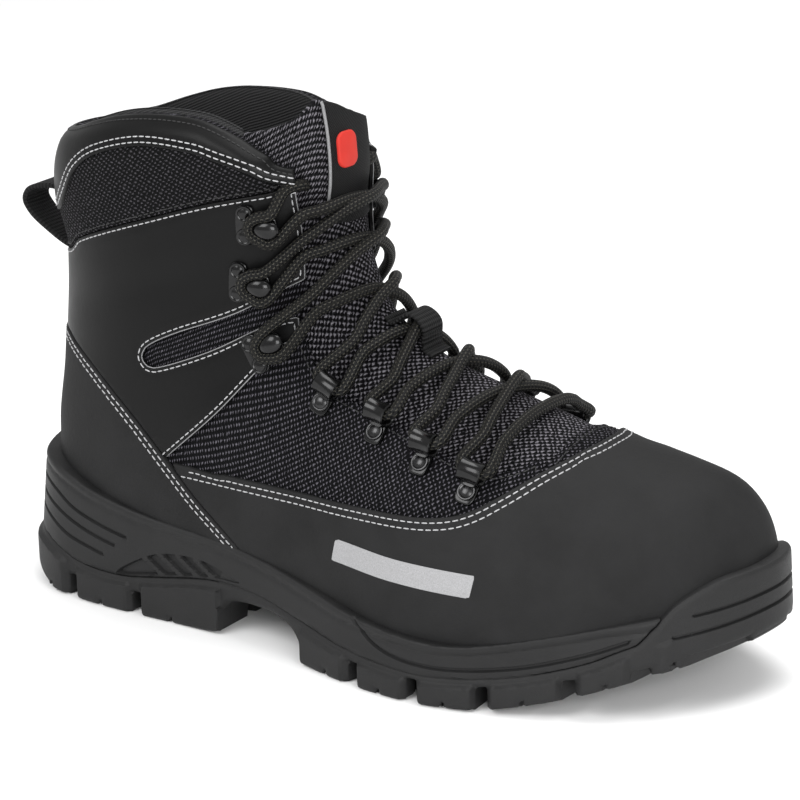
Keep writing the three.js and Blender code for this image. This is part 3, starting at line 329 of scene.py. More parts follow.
OUTLINE_ROWS = [
    (0.005, 0.370, 0.370, HEEL), (0.029, 0.680, 0.670, HEEL), (0.070, 0.875, 0.855, HEEL),
    (0.128, 0.960, 0.960, HEEL), (0.192, 0.990, 1.000, HEEL), (0.272, 1.000, 0.970, HEEL),
    (0.353, 1.040, 0.870, HEEL), (0.417, 1.120, 0.815, HEEL), (0.481, 0.880, 0.575, BALL),
    (0.545, 0.972, 0.650, BALL), (0.609, 1.030, 0.770, BALL), (0.667, 1.040, 0.865, BALL),
    (0.721, 0.992, 0.925, BALL), (0.769, 0.918, 0.953, BALL), (0.817, 0.826, 0.950, BALL),
    (0.865, 0.716, 0.917, BALL), (0.907, 0.590, 0.849, BALL), (0.942, 0.430, 0.762, BALL),
    (0.972, 0.240, 0.657, BALL), (0.993, 0.020, 0.535, BALL),
]
ACROSS = {HEEL: HEEL_WIDTH / 2, BALL: BALL_WIDTH / 2}
TOE_TIP = (1.004, 0.290)
HEEL_TIP = (-0.006, 0.0)
OUTLINE_POINTS = 38


def span_powers(p0, p1, p2, p3):
    """A curve from each p1 to its p2 that doesn't swing out between unevenly spaced points."""
    d0, d1, d2 = (np.linalg.norm(b - a, axis=1)[:, None] ** 0.5 for a, b in ((p0, p1), (p1, p2), (p2, p3)))
    start = ((p1 - p0) / d0 - (p2 - p0) / (d0 + d1) + (p2 - p1) / d1) * d1
    end = ((p2 - p1) / d1 - (p3 - p1) / (d1 + d2) + (p3 - p2) / d2) * d1
    return start, 3 * (p2 - p1) - 2 * start - end, 2 * (p1 - p2) + start + end


def on_span(p1, powers, f):
    start, square, cube = powers
    return p1 + f * (start + f * (square + f * cube))


def outline_curve(per):
    """The sole's outline: a centripetal curve through its rows, with that many points."""
    outer = [(x * LENGTH, -o * ACROSS[w]) for x, o, i, w in OUTLINE_ROWS]
    inner = [(x * LENGTH, i * ACROSS[w]) for x, o, i, w in OUTLINE_ROWS]
    toe = (TOE_TIP[0] * LENGTH, TOE_TIP[1] * ACROSS[BALL])
    heel = (HEEL_TIP[0] * LENGTH, HEEL_TIP[1])
    points = np.array([heel, *outer, toe, *inner[::-1]])
    count = len(points)
    where = np.arange(per) / per * count
    i = np.floor(where).astype(int)
    f = (where - i)[:, None]
    p0, p1, p2, p3 = (points[(i + k) % count] for k in (-1, 0, 1, 2))
    return on_span(p1, span_powers(p0, p1, p2, p3), f)


def find_shift():
    """From the boot's own frame to the row frame, read from the outsole's solid."""
    coarse = outline_curve(OUTLINE_POINTS)
    low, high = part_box("outsole")
    x = low.x / MM - coarse[:, 0].min()
    y = (low.y + high.y) / 2 / MM - (coarse[:, 1].min() + coarse[:, 1].max()) / 2
    return np.array([x, y, 0.0])


SHIFT = find_shift()


# Distances to a side curve, positive on the left of its direction


def side_distance(x, z, curve):
    """Signed distance and its gradient, from each (x, z) to a line through the curve's points."""
    a, b = curve[:-1], curve[1:]
    span = b - a
    length = np.maximum((span ** 2).sum(1), 1e-12)
    best = np.full(len(x), np.inf)
    sign = np.ones(len(x))
    away = np.zeros((len(x), 2))
    for k in range(len(a)):
        px, pz = x - a[k, 0], z - a[k, 1]
        f = np.clip((px * span[k, 0] + pz * span[k, 1]) / length[k], 0, 1)
        dx, dz = px - f * span[k, 0], pz - f * span[k, 1]
        near = dx * dx + dz * dz
        closer = near < best - 1e-12
        best = np.where(closer, near, best)
        turn = span[k, 0] * pz - span[k, 1] * px
        sign = np.where(closer, np.where(turn >= 0, 1.0, -1.0), sign)
        away[closer] = np.stack([dx, dz], 1)[closer]
    distance = np.sqrt(best) * sign
    gradient = away / np.maximum(np.sqrt(best), 1e-9)[:, None] * sign[:, None]
    return distance, gradient


def on_surface(points, normals, curve, tilt=0.0):
    """Distance over the surface from a side curve, positive on the left of it."""
    x, y, z = points.T
    if tilt:
        c, s = math.cos(math.radians(tilt)), math.sin(math.radians(tilt))
        z = -s * y + c * z
    distance, gradient = side_distance(x, z, curve)
    lean = gradient[:, 0] * normals[:, 0] + gradient[:, 1] * normals[:, 2]
    return distance / np.maximum(np.sqrt(np.maximum(1 - lean ** 2, 0)), 0.25)


class Patch:
    """A triangle mesh over two parameters, cut along lines where a field has a given value."""

    def __init__(self, place, first, second):
        p, q = np.meshgrid(first, second, indexing="ij")
        quads = grid_quads(*p.shape)
        self.tris = np.concatenate([quads[:, [0, 1, 2]], quads[:, [0, 2, 3]]])
        self.place = place
        self.fields = {"p": p.ravel().copy(), "q": q.ravel().copy()}

    def surface(self):
        return self.place(self.fields["p"], self.fields["q"])

    def split(self, name, level):
        value = self.fields[name] - level
        value[np.abs(value) < 1e-5] = 0.0
        mark = np.sign(value)[self.tris]
        crossing = (mark.max(1) > 0) & (mark.min(1) < 0)
        keep = self.tris[~crossing]
        todo = self.tris[crossing]
        if not len(todo):
            return
        edges = np.concatenate([todo[:, [0, 1]], todo[:, [1, 2]], todo[:, [2, 0]]])
        low, high = edges.min(1), edges.max(1)
        cut = value[low] * value[high] < 0
        key = low * (len(value) + 1) + high
        found, index = np.unique(key[cut], return_inverse=True)
        a, b = found // (len(value) + 1), found % (len(value) + 1)
        f = value[a] / (value[a] - value[b])
        base = len(value)
        for field, data in self.fields.items():
            self.fields[field] = np.concatenate([data, data[a] + f * (data[b] - data[a])])
        new = np.full(len(edges), -1)
        new[cut] = base + index
        mid = new.reshape(3, -1).T
        result = [keep]
        for tri, m in zip(todo, mid):
            one_cut = (m >= 0).sum() == 1
            k = int(np.argmax(m >= 0 if one_cut else m < 0))
            i, j, o = tri[k], tri[(k + 1) % 3], tri[(k + 2) % 3]
            if one_cut:
                result.append([(i, m[k], o), (m[k], j, o)])
            else:
                mj, mo = m[(k + 1) % 3], m[(k + 2) % 3]
                result.append([(i, j, mj), (i, mj, mo), (mj, o, mo)])
        self.tris = np.concatenate([np.asarray(r).reshape(-1, 3) for r in result])

    def cut(self, name, *levels):
        for level in levels:
            self.split(name, level)

    def keep(self, name):
        """Keeps what lies where the field is positive, cut exactly at zero."""
        self.split(name, 0.0)
        centre = self.fields[name][self.tris].mean(1)
        self.tris = self.tris[centre > 0]
        self.tidy()

    def tidy(self):
        used, index = np.unique(self.tris, return_inverse=True)
        self.tris = index.reshape(-1, 3)
        for field in self.fields:
            self.fields[field] = self.fields[field][used]

    def border(self):
        """Directed edges that only one triangle has."""
        edges = np.concatenate([self.tris[:, [0, 1]], self.tris[:, [1, 2]], self.tris[:, [2, 0]]])
        key = edges.min(1) * (len(self.fields["p"]) + 1) + edges.max(1)
        _, index, count = np.unique(key, return_inverse=True, return_counts=True)
        return edges[count[index] == 1]


def trace(patch, positions, normals, name, level):
    """The lines on the mesh where the field has that value, as runs of points and normals."""
    value = patch.fields[name] - level - 1e-4
    tri = patch.tris
    mark = value[tri] > 0
    mixed = tri[(mark.sum(1) > 0) & (mark.sum(1) < 3)]
    links = {}
    for t in mixed:
        ends = []
        for i, j in ((t[0], t[1]), (t[1], t[2]), (t[2], t[0])):
            if (value[i] > 0) != (value[j] > 0):
                ends.append((min(i, j), max(i, j)))
        a, b = ends
        links.setdefault(a, []).append(b)
        links.setdefault(b, []).append(a)
    runs = []
    left = set(links)
    while left:
        start = next((k for k in left if len(links[k]) == 1), None) or next(iter(left))
        run = [start]
        left.discard(start)
        while True:
            step = [k for k in links[run[-1]] if k in left]
            if not step:
                break
            run.append(step[0])
            left.discard(step[0])
        if len(run) > 3:
            keys = np.array(run)
            a, b = keys[:, 0], keys[:, 1]
            f = (value[a] / (value[a] - value[b]))[:, None]
            points = positions[a] * (1 - f) + positions[b] * f
            runs.append((points, unit(normals[a] * (1 - f) + normals[b] * f)))
    return runs


def even_steps(points, normals, step):
    """The run again with points a step apart."""
    reach = reach_of(points)
    count = max(int(reach[-1] / step), 2)
    where = np.linspace(0, reach[-1], count + 1)
    return pick_at(where, reach, points), unit(pick_at(where, reach, normals))


# Making Blender objects


def add_mesh(name, points, faces, material, replaced=(), attributes=None, sharp=42, weld=False):
    mesh = bpy.data.meshes.new(name)
    place = (np.asarray(points) + SHIFT) * MM
    mesh.from_pydata(place.tolist(), [], [tuple(f) for f in faces])
    for key, data in (attributes or {}).items():
        layer = mesh.attributes.new(key, "FLOAT_VECTOR", "POINT")
        layer.data.foreach_set("vector", np.asarray(data, np.float32).ravel())
    obj = bpy.data.objects.new(name, mesh)
    bpy.context.scene.collection.objects.link(obj)
    if weld:
        bm = bmesh.new()
        bm.from_mesh(mesh)
        bmesh.ops.remove_doubles(bm, verts=bm.verts, dist=2e-5)
        bm.to_mesh(mesh)
        bm.free()
    mesh.validate()
    for polygon in mesh.polygons:
        polygon.use_smooth = True
    mesh.set_sharp_from_angle(angle=math.radians(sharp))
    mesh.materials.append(material)
    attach(obj, "root")
    if replaced:
        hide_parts(*replaced)
    return obj


def close_shell(patch, top, bottom, skip_back=True):
    """Points and faces of a closed body between two heights of the same patch."""
    count = len(top)
    tris = patch.tris
    a, b, c = (top[tris[:, k]] for k in range(3))
    way = np.einsum("ij,ij->i", np.cross(b - a, c - a), (top - bottom)[tris[:, 0]]).sum()
    if way < 0:
        tris = tris[:, ::-1]
    patch.tris = tris
    border = patch.border()
    if skip_back:
        at_back = np.abs(np.abs(patch.fields["q"]) - 0.5) < 1e-6
        border = border[~(at_back[border[:, 0]] & at_back[border[:, 1]])]
    under = tris[:, ::-1] + count
    quads = np.stack([border[:, 1], border[:, 0], border[:, 0] + count, border[:, 1] + count], 1)
    faces = [tuple(f) for f in tris] + [tuple(f) for f in under] + [tuple(f) for f in quads]
    return np.vstack([top, bottom]), faces


def ring_faces(rings, sides, wrap=False):
    """Quads between neighbouring rings of points."""
    return [(i * sides + j, i * sides + (j + 1) % sides,
             (i + 1) % rings * sides + (j + 1) % sides, (i + 1) % rings * sides + j)
            for i in range(rings if wrap else rings - 1) for j in range(sides)]


def end_faces(rings, sides):
    return [tuple(range(sides))[::-1], tuple((rings - 1) * sides + j for j in range(sides))]


def closed_faces(rings, sides):
    """The quads and the two ends of a swept body."""
    return ring_faces(rings, sides) + end_faces(rings, sides)


def tube(points, radius, sides=12, normals=None):
    """A swept round section: points, faces and cloth coordinates (length along, share of the turn)."""
    points = np.asarray(points, float)
    count = len(points)
    ahead = np.roll(points, -1, 0) - np.roll(points, 1, 0)
    ahead[0] = points[1] - points[0]
    ahead[-1] = points[-1] - points[-2]
    ahead = unit(ahead)
    if normals is None:
        out = np.zeros_like(points)
        guide = np.array([0.0, 0.0, 1.0]) if abs(ahead[0, 2]) < 0.9 else np.array([1.0, 0.0, 0.0])
        for i in range(count):
            guide = guide - ahead[i] * guide.dot(ahead[i])
            guide = guide / np.linalg.norm(guide)
            out[i] = guide
    else:
        out = unit(normals - ahead * np.einsum("ij,ij->i", normals, ahead)[:, None])
    across = np.cross(ahead, out)
    angle = np.arange(sides) / sides * 2 * np.pi
    radius = np.broadcast_to(np.asarray(radius, float), (count,))
    ring = out[:, None] * np.cos(angle)[None, :, None] + across[:, None] * np.sin(angle)[None, :, None]
    verts = points[:, None] + ring * radius[:, None, None]
    reach = reach_of(points)
    turn = angle / (2 * np.pi)
    cloth = np.stack([*np.broadcast_arrays(reach[:, None], turn[None, :]), np.zeros((count, sides))], -1)
    return verts.reshape(-1, 3), closed_faces(count, sides), cloth.reshape(-1, 3)


class Pile:
    """Many small bodies gathered into one mesh."""

    def __init__(self):
        self.points, self.faces, self.cloth, self.count = [], [], [], 0

    def add(self, points, faces, cloth=None):
        points = np.asarray(points, float)
        self.points.append(points)
        self.cloth.append(np.zeros_like(points) if cloth is None else cloth)
        self.faces.extend(tuple(i + self.count for i in f) for f in faces)
        self.count += len(points)

    def make(self, name, material, slot, replaced=(), sharp=42):
        return add_mesh(name, np.concatenate(self.points), self.faces, material, replaced,
                        {"cloth": np.concatenate(self.cloth)}, sharp)


STITCH = {"length": 2.30, "pitch": 3.0, "radius": 0.26, "sides": 6, "lift": 0.12}


def add_stitches(pile, runs, pitch=STITCH["pitch"], length=STITCH["length"]):
    """Single stitches along runs of points: short threads that dip at both ends."""
    radius, sides, lift = STITCH["radius"], STITCH["sides"], STITCH["lift"]
    where = np.array([-0.5, -0.42, -0.2, 0.2, 0.42, 0.5]) * length
    wide = np.array([0.25, 0.8, 1.0, 1.0, 0.8, 0.25]) * radius
    sink = np.array([-0.45, -0.12, 0.0, 0.0, -0.12, -0.45]) * radius * 1.6
    angle = np.arange(sides) / sides * 2 * np.pi
    for points, normals in runs:
        reach = reach_of(points)
        count = int(reach[-1] / pitch)
        if count < 1:
            continue
        for k in range(count):
            s = (k + 0.5) * pitch
            middle, out = pick_at(s, reach, points), pick_at(s, reach, normals)
            ahead = unit(pick_at(s + length / 2, reach, points) - pick_at(s - length / 2, reach, points))
            out = unit(out - ahead * out.dot(ahead))
            across = np.cross(ahead, out)
            ring = (out * np.cos(angle)[:, None] + across * np.sin(angle)[:, None])
            verts = (middle + ahead * where[:, None, None] + ring[None] * wide[:, None, None]
                     + out * (sink + lift)[:, None, None]).reshape(-1, 3)
            pile.add(verts, closed_faces(len(where), sides))


# Materials


def nodes_of(name):
    material = bpy.data.materials.new(name)
    material.use_nodes = True
    tree = material.node_tree
    shader = tree.nodes["Principled BSDF"]
    return material, tree, shader


def link(tree, out, into):
    tree.links.new(out, into)


def math_node(tree, kind, a, b=None, c=None):
    node = tree.nodes.new("ShaderNodeMath")
    node.operation = kind
    for socket, value in zip(node.inputs, (a, b, c)):
        if value is None:
            continue
        if isinstance(value, (int, float)):
            socket.default_value = value
        else:
            link(tree, value, socket)
    return node.outputs[0]


def noise(tree, scale, detail=4.0, rough=0.55, vector=None):
    node = tree.nodes.new("ShaderNodeTexNoise")
    node.inputs["Scale"].default_value = scale
    node.inputs["Detail"].default_value = detail
    node.inputs["Roughness"].default_value = rough
    if vector is None:
        vector = place_of(tree)
    link(tree, vector, node.inputs["Vector"])
    return node.outputs["Fac"]


def place_of(tree):
    """Object coordinates: metres in the row frame."""
    return tree.nodes.new("ShaderNodeTexCoord").outputs["Object"]


def ramp(tree, value, stops):
    node = tree.nodes.new("ShaderNodeValToRGB")
    while len(node.color_ramp.elements) < len(stops):
        node.color_ramp.elements.new(0.5)
    for element, (at, colour) in zip(node.color_ramp.elements, stops):
        element.position = at
        element.color = (*colour, 1.0)
    link(tree, value, node.inputs["Fac"])
    return node.outputs["Color"]


def grey(value, tint=(1.0, 1.0, 1.02)):
    return tuple(value * t for t in tint)


def paint(tree, shader, value, *stops):
    link(tree, ramp(tree, value, stops), shader.inputs["Base Color"])


def uneven_gloss(tree, shader, cloud, rough, spread):
    """Roughness that follows a cloudy pattern."""
    patchy = math_node(tree, "MULTIPLY_ADD", cloud, spread, rough - spread / 2)
    link(tree, patchy, shader.inputs["Roughness"])


def bump(tree, shader, height, distance, strength):
    node = tree.nodes.new("ShaderNodeBump")
    node.inputs["Strength"].default_value = strength
    node.inputs["Distance"].default_value = distance
    link(tree, height, node.inputs["Height"])
    link(tree, node.outputs["Normal"], shader.inputs["Normal"])


def make_leather(name, base, rough, grain, coat=0.0, mottling=0.25, shine=0.2):
    """Leather or nubuck: fine pebbled grain, cloudy colour and slightly uneven gloss."""
    material, tree, shader = nodes_of(name)
    cloud = noise(tree, 45, 5, 0.6)
    low, high = base * (1 - mottling), base * (1 + mottling)
    paint(tree, shader, cloud, (0.3, grey(low)), (0.7, grey(high)))
    fine = noise(tree, 1700, 3, 0.65)
    broad = noise(tree, 520, 3, 0.5)
    height = math_node(tree, "ADD", math_node(tree, "MULTIPLY", fine, 0.5), broad)
    bump(tree, shader, height, grain, 0.55)
    uneven_gloss(tree, shader, cloud, rough, 0.22)
    shader.inputs["Coat Weight"].default_value = coat
    shader.inputs["Coat Roughness"].default_value = 0.45
    shader.inputs["Specular IOR Level"].default_value = shine
    return material


def make_rubber(name, base, rough, grain, shine):
    material, tree, shader = nodes_of(name)
    cloud = noise(tree, 60, 5, 0.6)
    paint(tree, shader, cloud, (0.3, grey(base * 0.82)), (0.72, grey(base * 1.2)))
    bump(tree, shader, noise(tree, 1500, 4, 0.7), grain, 0.6)
    uneven_gloss(tree, shader, cloud, rough, 0.3)
    shader.inputs["Specular IOR Level"].default_value = shine
    return material


def cloth_axes(tree):
    node = tree.nodes.new("ShaderNodeAttribute")
    node.attribute_name = "cloth"
    split = tree.nodes.new("ShaderNodeSeparateXYZ")
    link(tree, node.outputs["Vector"], split.inputs[0])
    return node.outputs["Vector"], split.outputs["X"], split.outputs["Y"]


def wave(tree, value, pitch):
    """A sine of a length in millimetres."""
    return math_node(tree, "SINE", math_node(tree, "MULTIPLY", value, 2 * math.pi / pitch))


# The pitch between a weave's rows, to the pitch along them
ROW_PITCH = 1.15
CLOTH_SHINE = 0.10


def make_weave(name, dark, light, pitch, depth=0.5, fleck=0.5, rough=0.85):
    """A coarse basket weave: threads that stand up in a chequer, with flecks of lighter yarn."""
    material, tree, shader = nodes_of(name)
    vector, a, b = cloth_axes(tree)
    wobble = noise(tree, 0.35, 2, 0.5, vector)
    bend = math_node(tree, "MULTIPLY", math_node(tree, "SUBTRACT", wobble, 0.5), pitch * 0.9)
    a = math_node(tree, "ADD", a, bend)
    b = math_node(tree, "ADD", b, bend)
    knots = math_node(tree, "MULTIPLY", wave(tree, a, pitch), wave(tree, b, pitch * ROW_PITCH))
    ribs = math_node(tree, "MULTIPLY", wave(tree, a, pitch / 2), 0.22)
    height = math_node(tree, "ADD", knots, ribs)
    yarn = noise(tree, 1.1, 3, 0.7, vector)
    weave = math_node(tree, "MULTIPLY", height, 0.34)
    tone = math_node(tree, "ADD", weave, math_node(tree, "MULTIPLY", yarn, fleck))
    paint(tree, shader, tone, (0.14, dark), (0.34, tuple(d * 3 for d in dark)), (0.60, light))
    bump(tree, shader, height, depth * MM, 0.9)
    shader.inputs["Specular IOR Level"].default_value = CLOTH_SHINE
    shader.inputs["Roughness"].default_value = rough
    return material


def make_ribbed(name, base, pitch, depth=0.25, rough=0.8, slant=0.0):
    """Ribbed cloth or webbing: fine cords along one cloth axis."""
    material, tree, shader = nodes_of(name)
    _, a, b = cloth_axes(tree)
    across = math_node(tree, "ADD", a, math_node(tree, "MULTIPLY", b, slant))
    ribs = wave(tree, across, pitch)
    threads = math_node(tree, "MULTIPLY", wave(tree, b, pitch * 0.7), 0.4)
    height = math_node(tree, "ADD", ribs, threads)
    tone = math_node(tree, "MULTIPLY_ADD", height, 0.25, 0.5)
    paint(tree, shader, tone, (0.1, grey(base * 0.45)), (0.9, grey(base * 1.5)))
    bump(tree, shader, height, depth * MM, 0.8)
    shader.inputs["Specular IOR Level"].default_value = CLOTH_SHINE
    shader.inputs["Roughness"].default_value = rough
    return material


def make_lace_material():
    """A round braid: strands that cross at a slant, black with olive-grey flecks in lengthwise lines."""
    material, tree, shader = nodes_of("lace_braid")
    _, s, turn = cloth_axes(tree)
    lead = math_node(tree, "MULTIPLY", turn, 2 * math.pi * 5)
    run = math_node(tree, "MULTIPLY", s, 2 * math.pi / 1.7)
    left = math_node(tree, "SINE", math_node(tree, "ADD", run, lead))
    right = math_node(tree, "SINE", math_node(tree, "SUBTRACT", run, lead))
    height = math_node(tree, "MAXIMUM", left, right)
    lines = math_node(tree, "SINE", math_node(tree, "MULTIPLY", turn, 2 * math.pi * 10))
    pick = math_node(tree, "MULTIPLY", height, math_node(tree, "MAXIMUM", lines, 0.0))
    paint(tree, shader, pick, (0.10, (0.0022, 0.0022, 0.0022)), (0.50, (0.009, 0.009, 0.008)),
          (0.95, (0.060, 0.056, 0.044)))
    bump(tree, shader, height, 0.35 * MM, 0.8)
    shader.inputs["Specular IOR Level"].default_value = CLOTH_SHINE * 2
    shader.inputs["Roughness"].default_value = 0.62
    return material


def make_metal(name, base, rough, metallic=1.0, coat=0.3):
    material, tree, shader = nodes_of(name)
    cloud = noise(tree, 400, 3, 0.6)
    paint(tree, shader, cloud, (0.3, grey(base * 0.85)), (0.7, grey(base * 1.15)))
    shader.inputs["Metallic"].default_value = metallic
    uneven_gloss(tree, shader, cloud, rough, 0.2)
    shader.inputs["Coat Weight"].default_value = coat
    shader.inputs["Coat Roughness"].default_value = 0.15
    return material


def make_thread(name, base, rough=0.7):
    material, tree, shader = nodes_of(name)
    twist = noise(tree, 2600, 2, 0.6)
    paint(tree, shader, twist, (0.3, grey(base * 0.7)), (0.7, grey(base)))
    bump(tree, shader, twist, 0.15 * MM, 0.6)
    shader.inputs["Roughness"].default_value = rough
    return material


MATERIALS = {
    "nubuck": make_leather("nubuck", 0.0110, 0.72, 0.28 * MM, 0.0, 0.26, 0.16),
    "leather": make_leather("smooth_leather", 0.0030, 0.42, 0.06 * MM, 0.0, 0.12, 0.13),
    "rubber": make_rubber("sole_rubber", 0.0110, 0.56, 0.30 * MM, 0.24),
    "midsole": make_rubber("midsole_foam", 0.0108, 0.54, 0.14 * MM, 0.22),
    "mesh": make_weave("upper_mesh", (0.0012, 0.0012, 0.0016), (0.100, 0.095, 0.110), 2.2, 0.6),
    "tongue_mesh": make_weave("tongue_mesh", (0.0014, 0.0014, 0.0018), (0.170, 0.162, 0.180), 2.4, 0.7, 0.65),
    "collar_mesh": make_weave("collar_mesh", (0.0012, 0.0012, 0.0014), (0.055, 0.052, 0.058), 2.2, 0.5),
    "lining": make_ribbed("lining_neoprene", 0.026, 1.15, 0.2, 0.85),
    "webbing": make_ribbed("webbing", 0.012, 1.7, 0.4, 0.7),
    "panel": make_ribbed("tongue_twill", 0.009, 1.0, 0.18, 0.6, 0.8),
    "lace": make_lace_material(),
    "metal": make_metal("black_metal", 0.012, 0.22, 0.85, 0.25),
    "rivet": make_metal("rivet_metal", 0.034, 0.28, 1.0, 0.2),
    "thread": make_thread("light_thread", 0.40),
    "dark_thread": make_thread("dark_thread", 0.012),
    "piping": make_thread("piping", 0.20, 0.5),
    "badge": make_leather("badge_red", 0.02, 0.5, 0.05 * MM, 0.0, 0.1),
    "print": make_thread("light_print", 0.30, 0.6),
}


def paint_badge():
    tree = MATERIALS["badge"].node_tree
    for node in tree.nodes:
        if node.type == "VALTORGB":
            node.color_ramp.elements[0].color = (0.40, 0.020, 0.014, 1)
            node.color_ramp.elements[1].color = (0.50, 0.030, 0.020, 1)


paint_badge()


# Cloth coordinates on the last: lengths along the rows and round the section from the ridge


def last_lengths(t, u):
    """Tables of length along the boot and round the section, to be looked up by row and turn."""
    tt, uu = np.meshgrid(t, u, indexing="ij")
    p = last_point(tt, uu)
    rise, turn = (np.linalg.norm(np.diff(p, axis=k), axis=2) for k in (0, 1))
    along = np.concatenate([np.zeros((1, len(u))), np.cumsum(rise, 0)])
    around = np.concatenate([np.zeros((len(t), 1)), np.cumsum(turn, 1)], 1)
    middle = np.argmin(np.abs(u))
    return along - along[len(t) // 2], around - around[:, [middle]]


def last_steps(low, high, step):
    """Row numbers that lie about a step apart along the outer side."""
    t = np.linspace(low, high, 400)
    widest = 0
    for u in (0.0, 0.2, -0.2):
        p = last_point(t, np.full_like(t, u))
        widest = np.maximum(widest, np.linalg.norm(np.diff(p, axis=0), axis=1))
    reach = np.concatenate([[0], np.cumsum(widest)])
    count = int(reach[-1] / step)
    return np.interp(np.linspace(0, reach[-1], count + 1), reach, t)


# Roughly the longest way round the last
GIRTH = 300.0


def last_patch(low, high, step, turns=(-0.5, 0.5)):
    """A patch of the last between two rows, with its points, normals and cloth lengths as fields."""
    t = last_steps(low, high, step)
    u = np.linspace(turns[0], turns[1], int(GIRTH * (turns[1] - turns[0]) / step) + 1)
    patch = Patch(lambda p, q: (last_point(p, q), last_normal(p, q)), t, u)
    along, around = last_lengths(t, u)
    patch.fields["a"] = along.ravel().copy()
    patch.fields["b"] = around.ravel().copy()
    return patch


def field(patch, name, curve, flip=False, tilt=0.0, shift=0.0):
    points, normals = patch.surface()
    distance = on_surface(points, normals, curve, tilt)
    patch.fields[name] = (-distance if flip else distance) + shift


def least(patch, name, *parts):
    patch.fields[name] = np.minimum.reduce([patch.fields[k] for k in parts])


def cloth_of(patch):
    """Cloth coordinates of both faces of a shell."""
    flat = np.stack([patch.fields["a"], patch.fields["b"], np.zeros(len(patch.fields["a"]))], 1)
    return np.vstack([flat, flat])


# Soft creases of the upper: centre (x, z), half length, half width, slant in degrees, depth. Lengths are
# shares of LENGTH along x and of SHAFT_HEIGHT along z; the sides are outer, inner or both.
CREASES = [
    (0.400, 0.560, 0.070, 0.016, 28, 0.7, "both"),
    (0.330, 0.640, 0.085, 0.018, 22, -0.5, "outer"),
    (0.245, 0.700, 0.080, 0.022, 18, 0.5, "both"),
    (0.130, 0.640, 0.060, 0.030, 8, 0.45, "both"),
    (0.300, 0.430, 0.060, 0.020, 40, -0.4, "inner"),
    (0.775, 0.330, 0.050, 0.014, 62, 0.55, "both"),
    (0.820, 0.360, 0.050, 0.016, 70, -0.35, "both"),
    (0.700, 0.240, 0.060, 0.020, 55, 0.45, "inner"),
    (0.640, 0.240, 0.070, 0.020, 30, 0.35, "outer"),
    (0.880, 0.250, 0.060, 0.030, -20, 0.4, "outer"),
]


def creases(points):
    total = np.zeros(len(points))
    x, y, z = points.T
    for cx, cz, half, wide, slant, depth, where in CREASES:
        c, s = math.cos(math.radians(slant)), math.sin(math.radians(slant))
        dx, dz = x - cx * LENGTH, z - cz * SHAFT_HEIGHT
        along, across = c * dx + s * dz, -s * dx + c * dz
        trough = np.exp(-(along / (half * LENGTH)) ** 2 - (across / (wide * LENGTH)) ** 2)
        gate = 1.0
        if where != "both":
            gate = 1 / (1 + np.exp((y if where == "outer" else -y) / 4.0))
        total -= depth * trough * gate
    return total


def ease(value, low, high):
    f = np.clip((value - low) / (high - low), 0, 1)
    return f * f * (3 - 2 * f)


BEVEL = 0.8


def edge_round(distance, thick, reach=BEVEL):
    """Height of a layer near its cut edge: it falls off in a quarter round."""
    return thick * (0.45 + 0.55 * quarter(distance, reach))


def thread_groove(distance, at, wide=0.9, deep=0.28):
    return -deep * np.exp(-((distance - at) / wide) ** 2)


def make_layer(name, patch, edge, height, material, replaced, base=GAP, sharp=42, weld=True):
    """A closed layer over the last, with points at each edge's bevel."""
    patch.keep(edge)
    patch.cut(edge, 0.18, 0.45, BEVEL)
    patch.tidy()
    points, normals = patch.surface()
    top = points + normals * height(patch, points)[:, None]
    bottom = points + normals * base
    verts, faces = close_shell(patch, top, bottom)
    obj = add_mesh(name, verts, faces, material, replaced, {"cloth": cloth_of(patch)}, sharp, weld)
    return obj, patch, top, normals


threads = Pile()
dark_threads = Pile()
pipes = Pile()


def stitch_rows(patch, top, normals, name, levels, pile=None, only=None, **how):
    for level in levels:
        runs = trace(patch, top, normals, name, level)
        if only is not None:
            runs = only(runs)
        add_stitches(pile or threads, runs, **how)


def clip_runs(test):
    """Keeps the stretches of each run whose points pass the test."""
    def clip(runs):
        out = []
        for points, normals in runs:
            good = test(points)
            start = None
            for i in range(len(points) + 1):
                if i < len(points) and good[i]:
                    start = i if start is None else start
                elif start is not None:
                    if i - start > 3:
                        out.append((points[start:i], normals[start:i]))
                    start = None
        return out
    return clip


FINE = 1.5
# Where the sewing of the throat stops, and how far forward and up that of the rand starts
THROAT_THREADS_TOP = 0.62 * SHAFT_HEIGHT
RAND_THREADS_FROM = (88, 50)
SEAM = {name: smooth_curve(curve) for name, curve in {
    "rand": RAND_SEAM, "counter": COUNTER_SEAM, "quarter": QUARTER_FRONT, "collar": COLLAR_SEAM,
    "window": WINDOW_TOP, "top": COLLAR_TOP, "throat": THROAT_EDGE, "tongue": TONGUE_EDGE, "slot": SLOT,
    "feather": FEATHER, "bumper": BUMPER_EDGE, "parting": PARTING, "board": BOARD,
    "ground": GROUND}.items()}


def make_upper():
    """The mesh upper, one shell from the toe to the collar, open at the throat and underneath."""
    patch = last_patch(0.0, 19.0, 2.4)
    field(patch, "board", SEAM["board"])
    field(patch, "top", SEAM["top"], flip=True, tilt=COLLAR_TILT)
    field(patch, "throat", SEAM["throat"], flip=True)
    least(patch, "edge", "board", "top", "throat")

    def height(p, points):
        return creases(points) * 0.6 - 0.35 * (1 - ease(p.fields["throat"], 0.0, 1.2))

    _, patch, top, normals = make_layer("upper_mesh", patch, "edge", height, MATERIALS["mesh"],
                                        ("upper",), base=-WALL, weld=False)
    low_z = lambda p: p[:, 2] < THROAT_THREADS_TOP
    stitch_rows(patch, top, normals, "throat", (2.2,), pile=dark_threads, only=clip_runs(low_z))


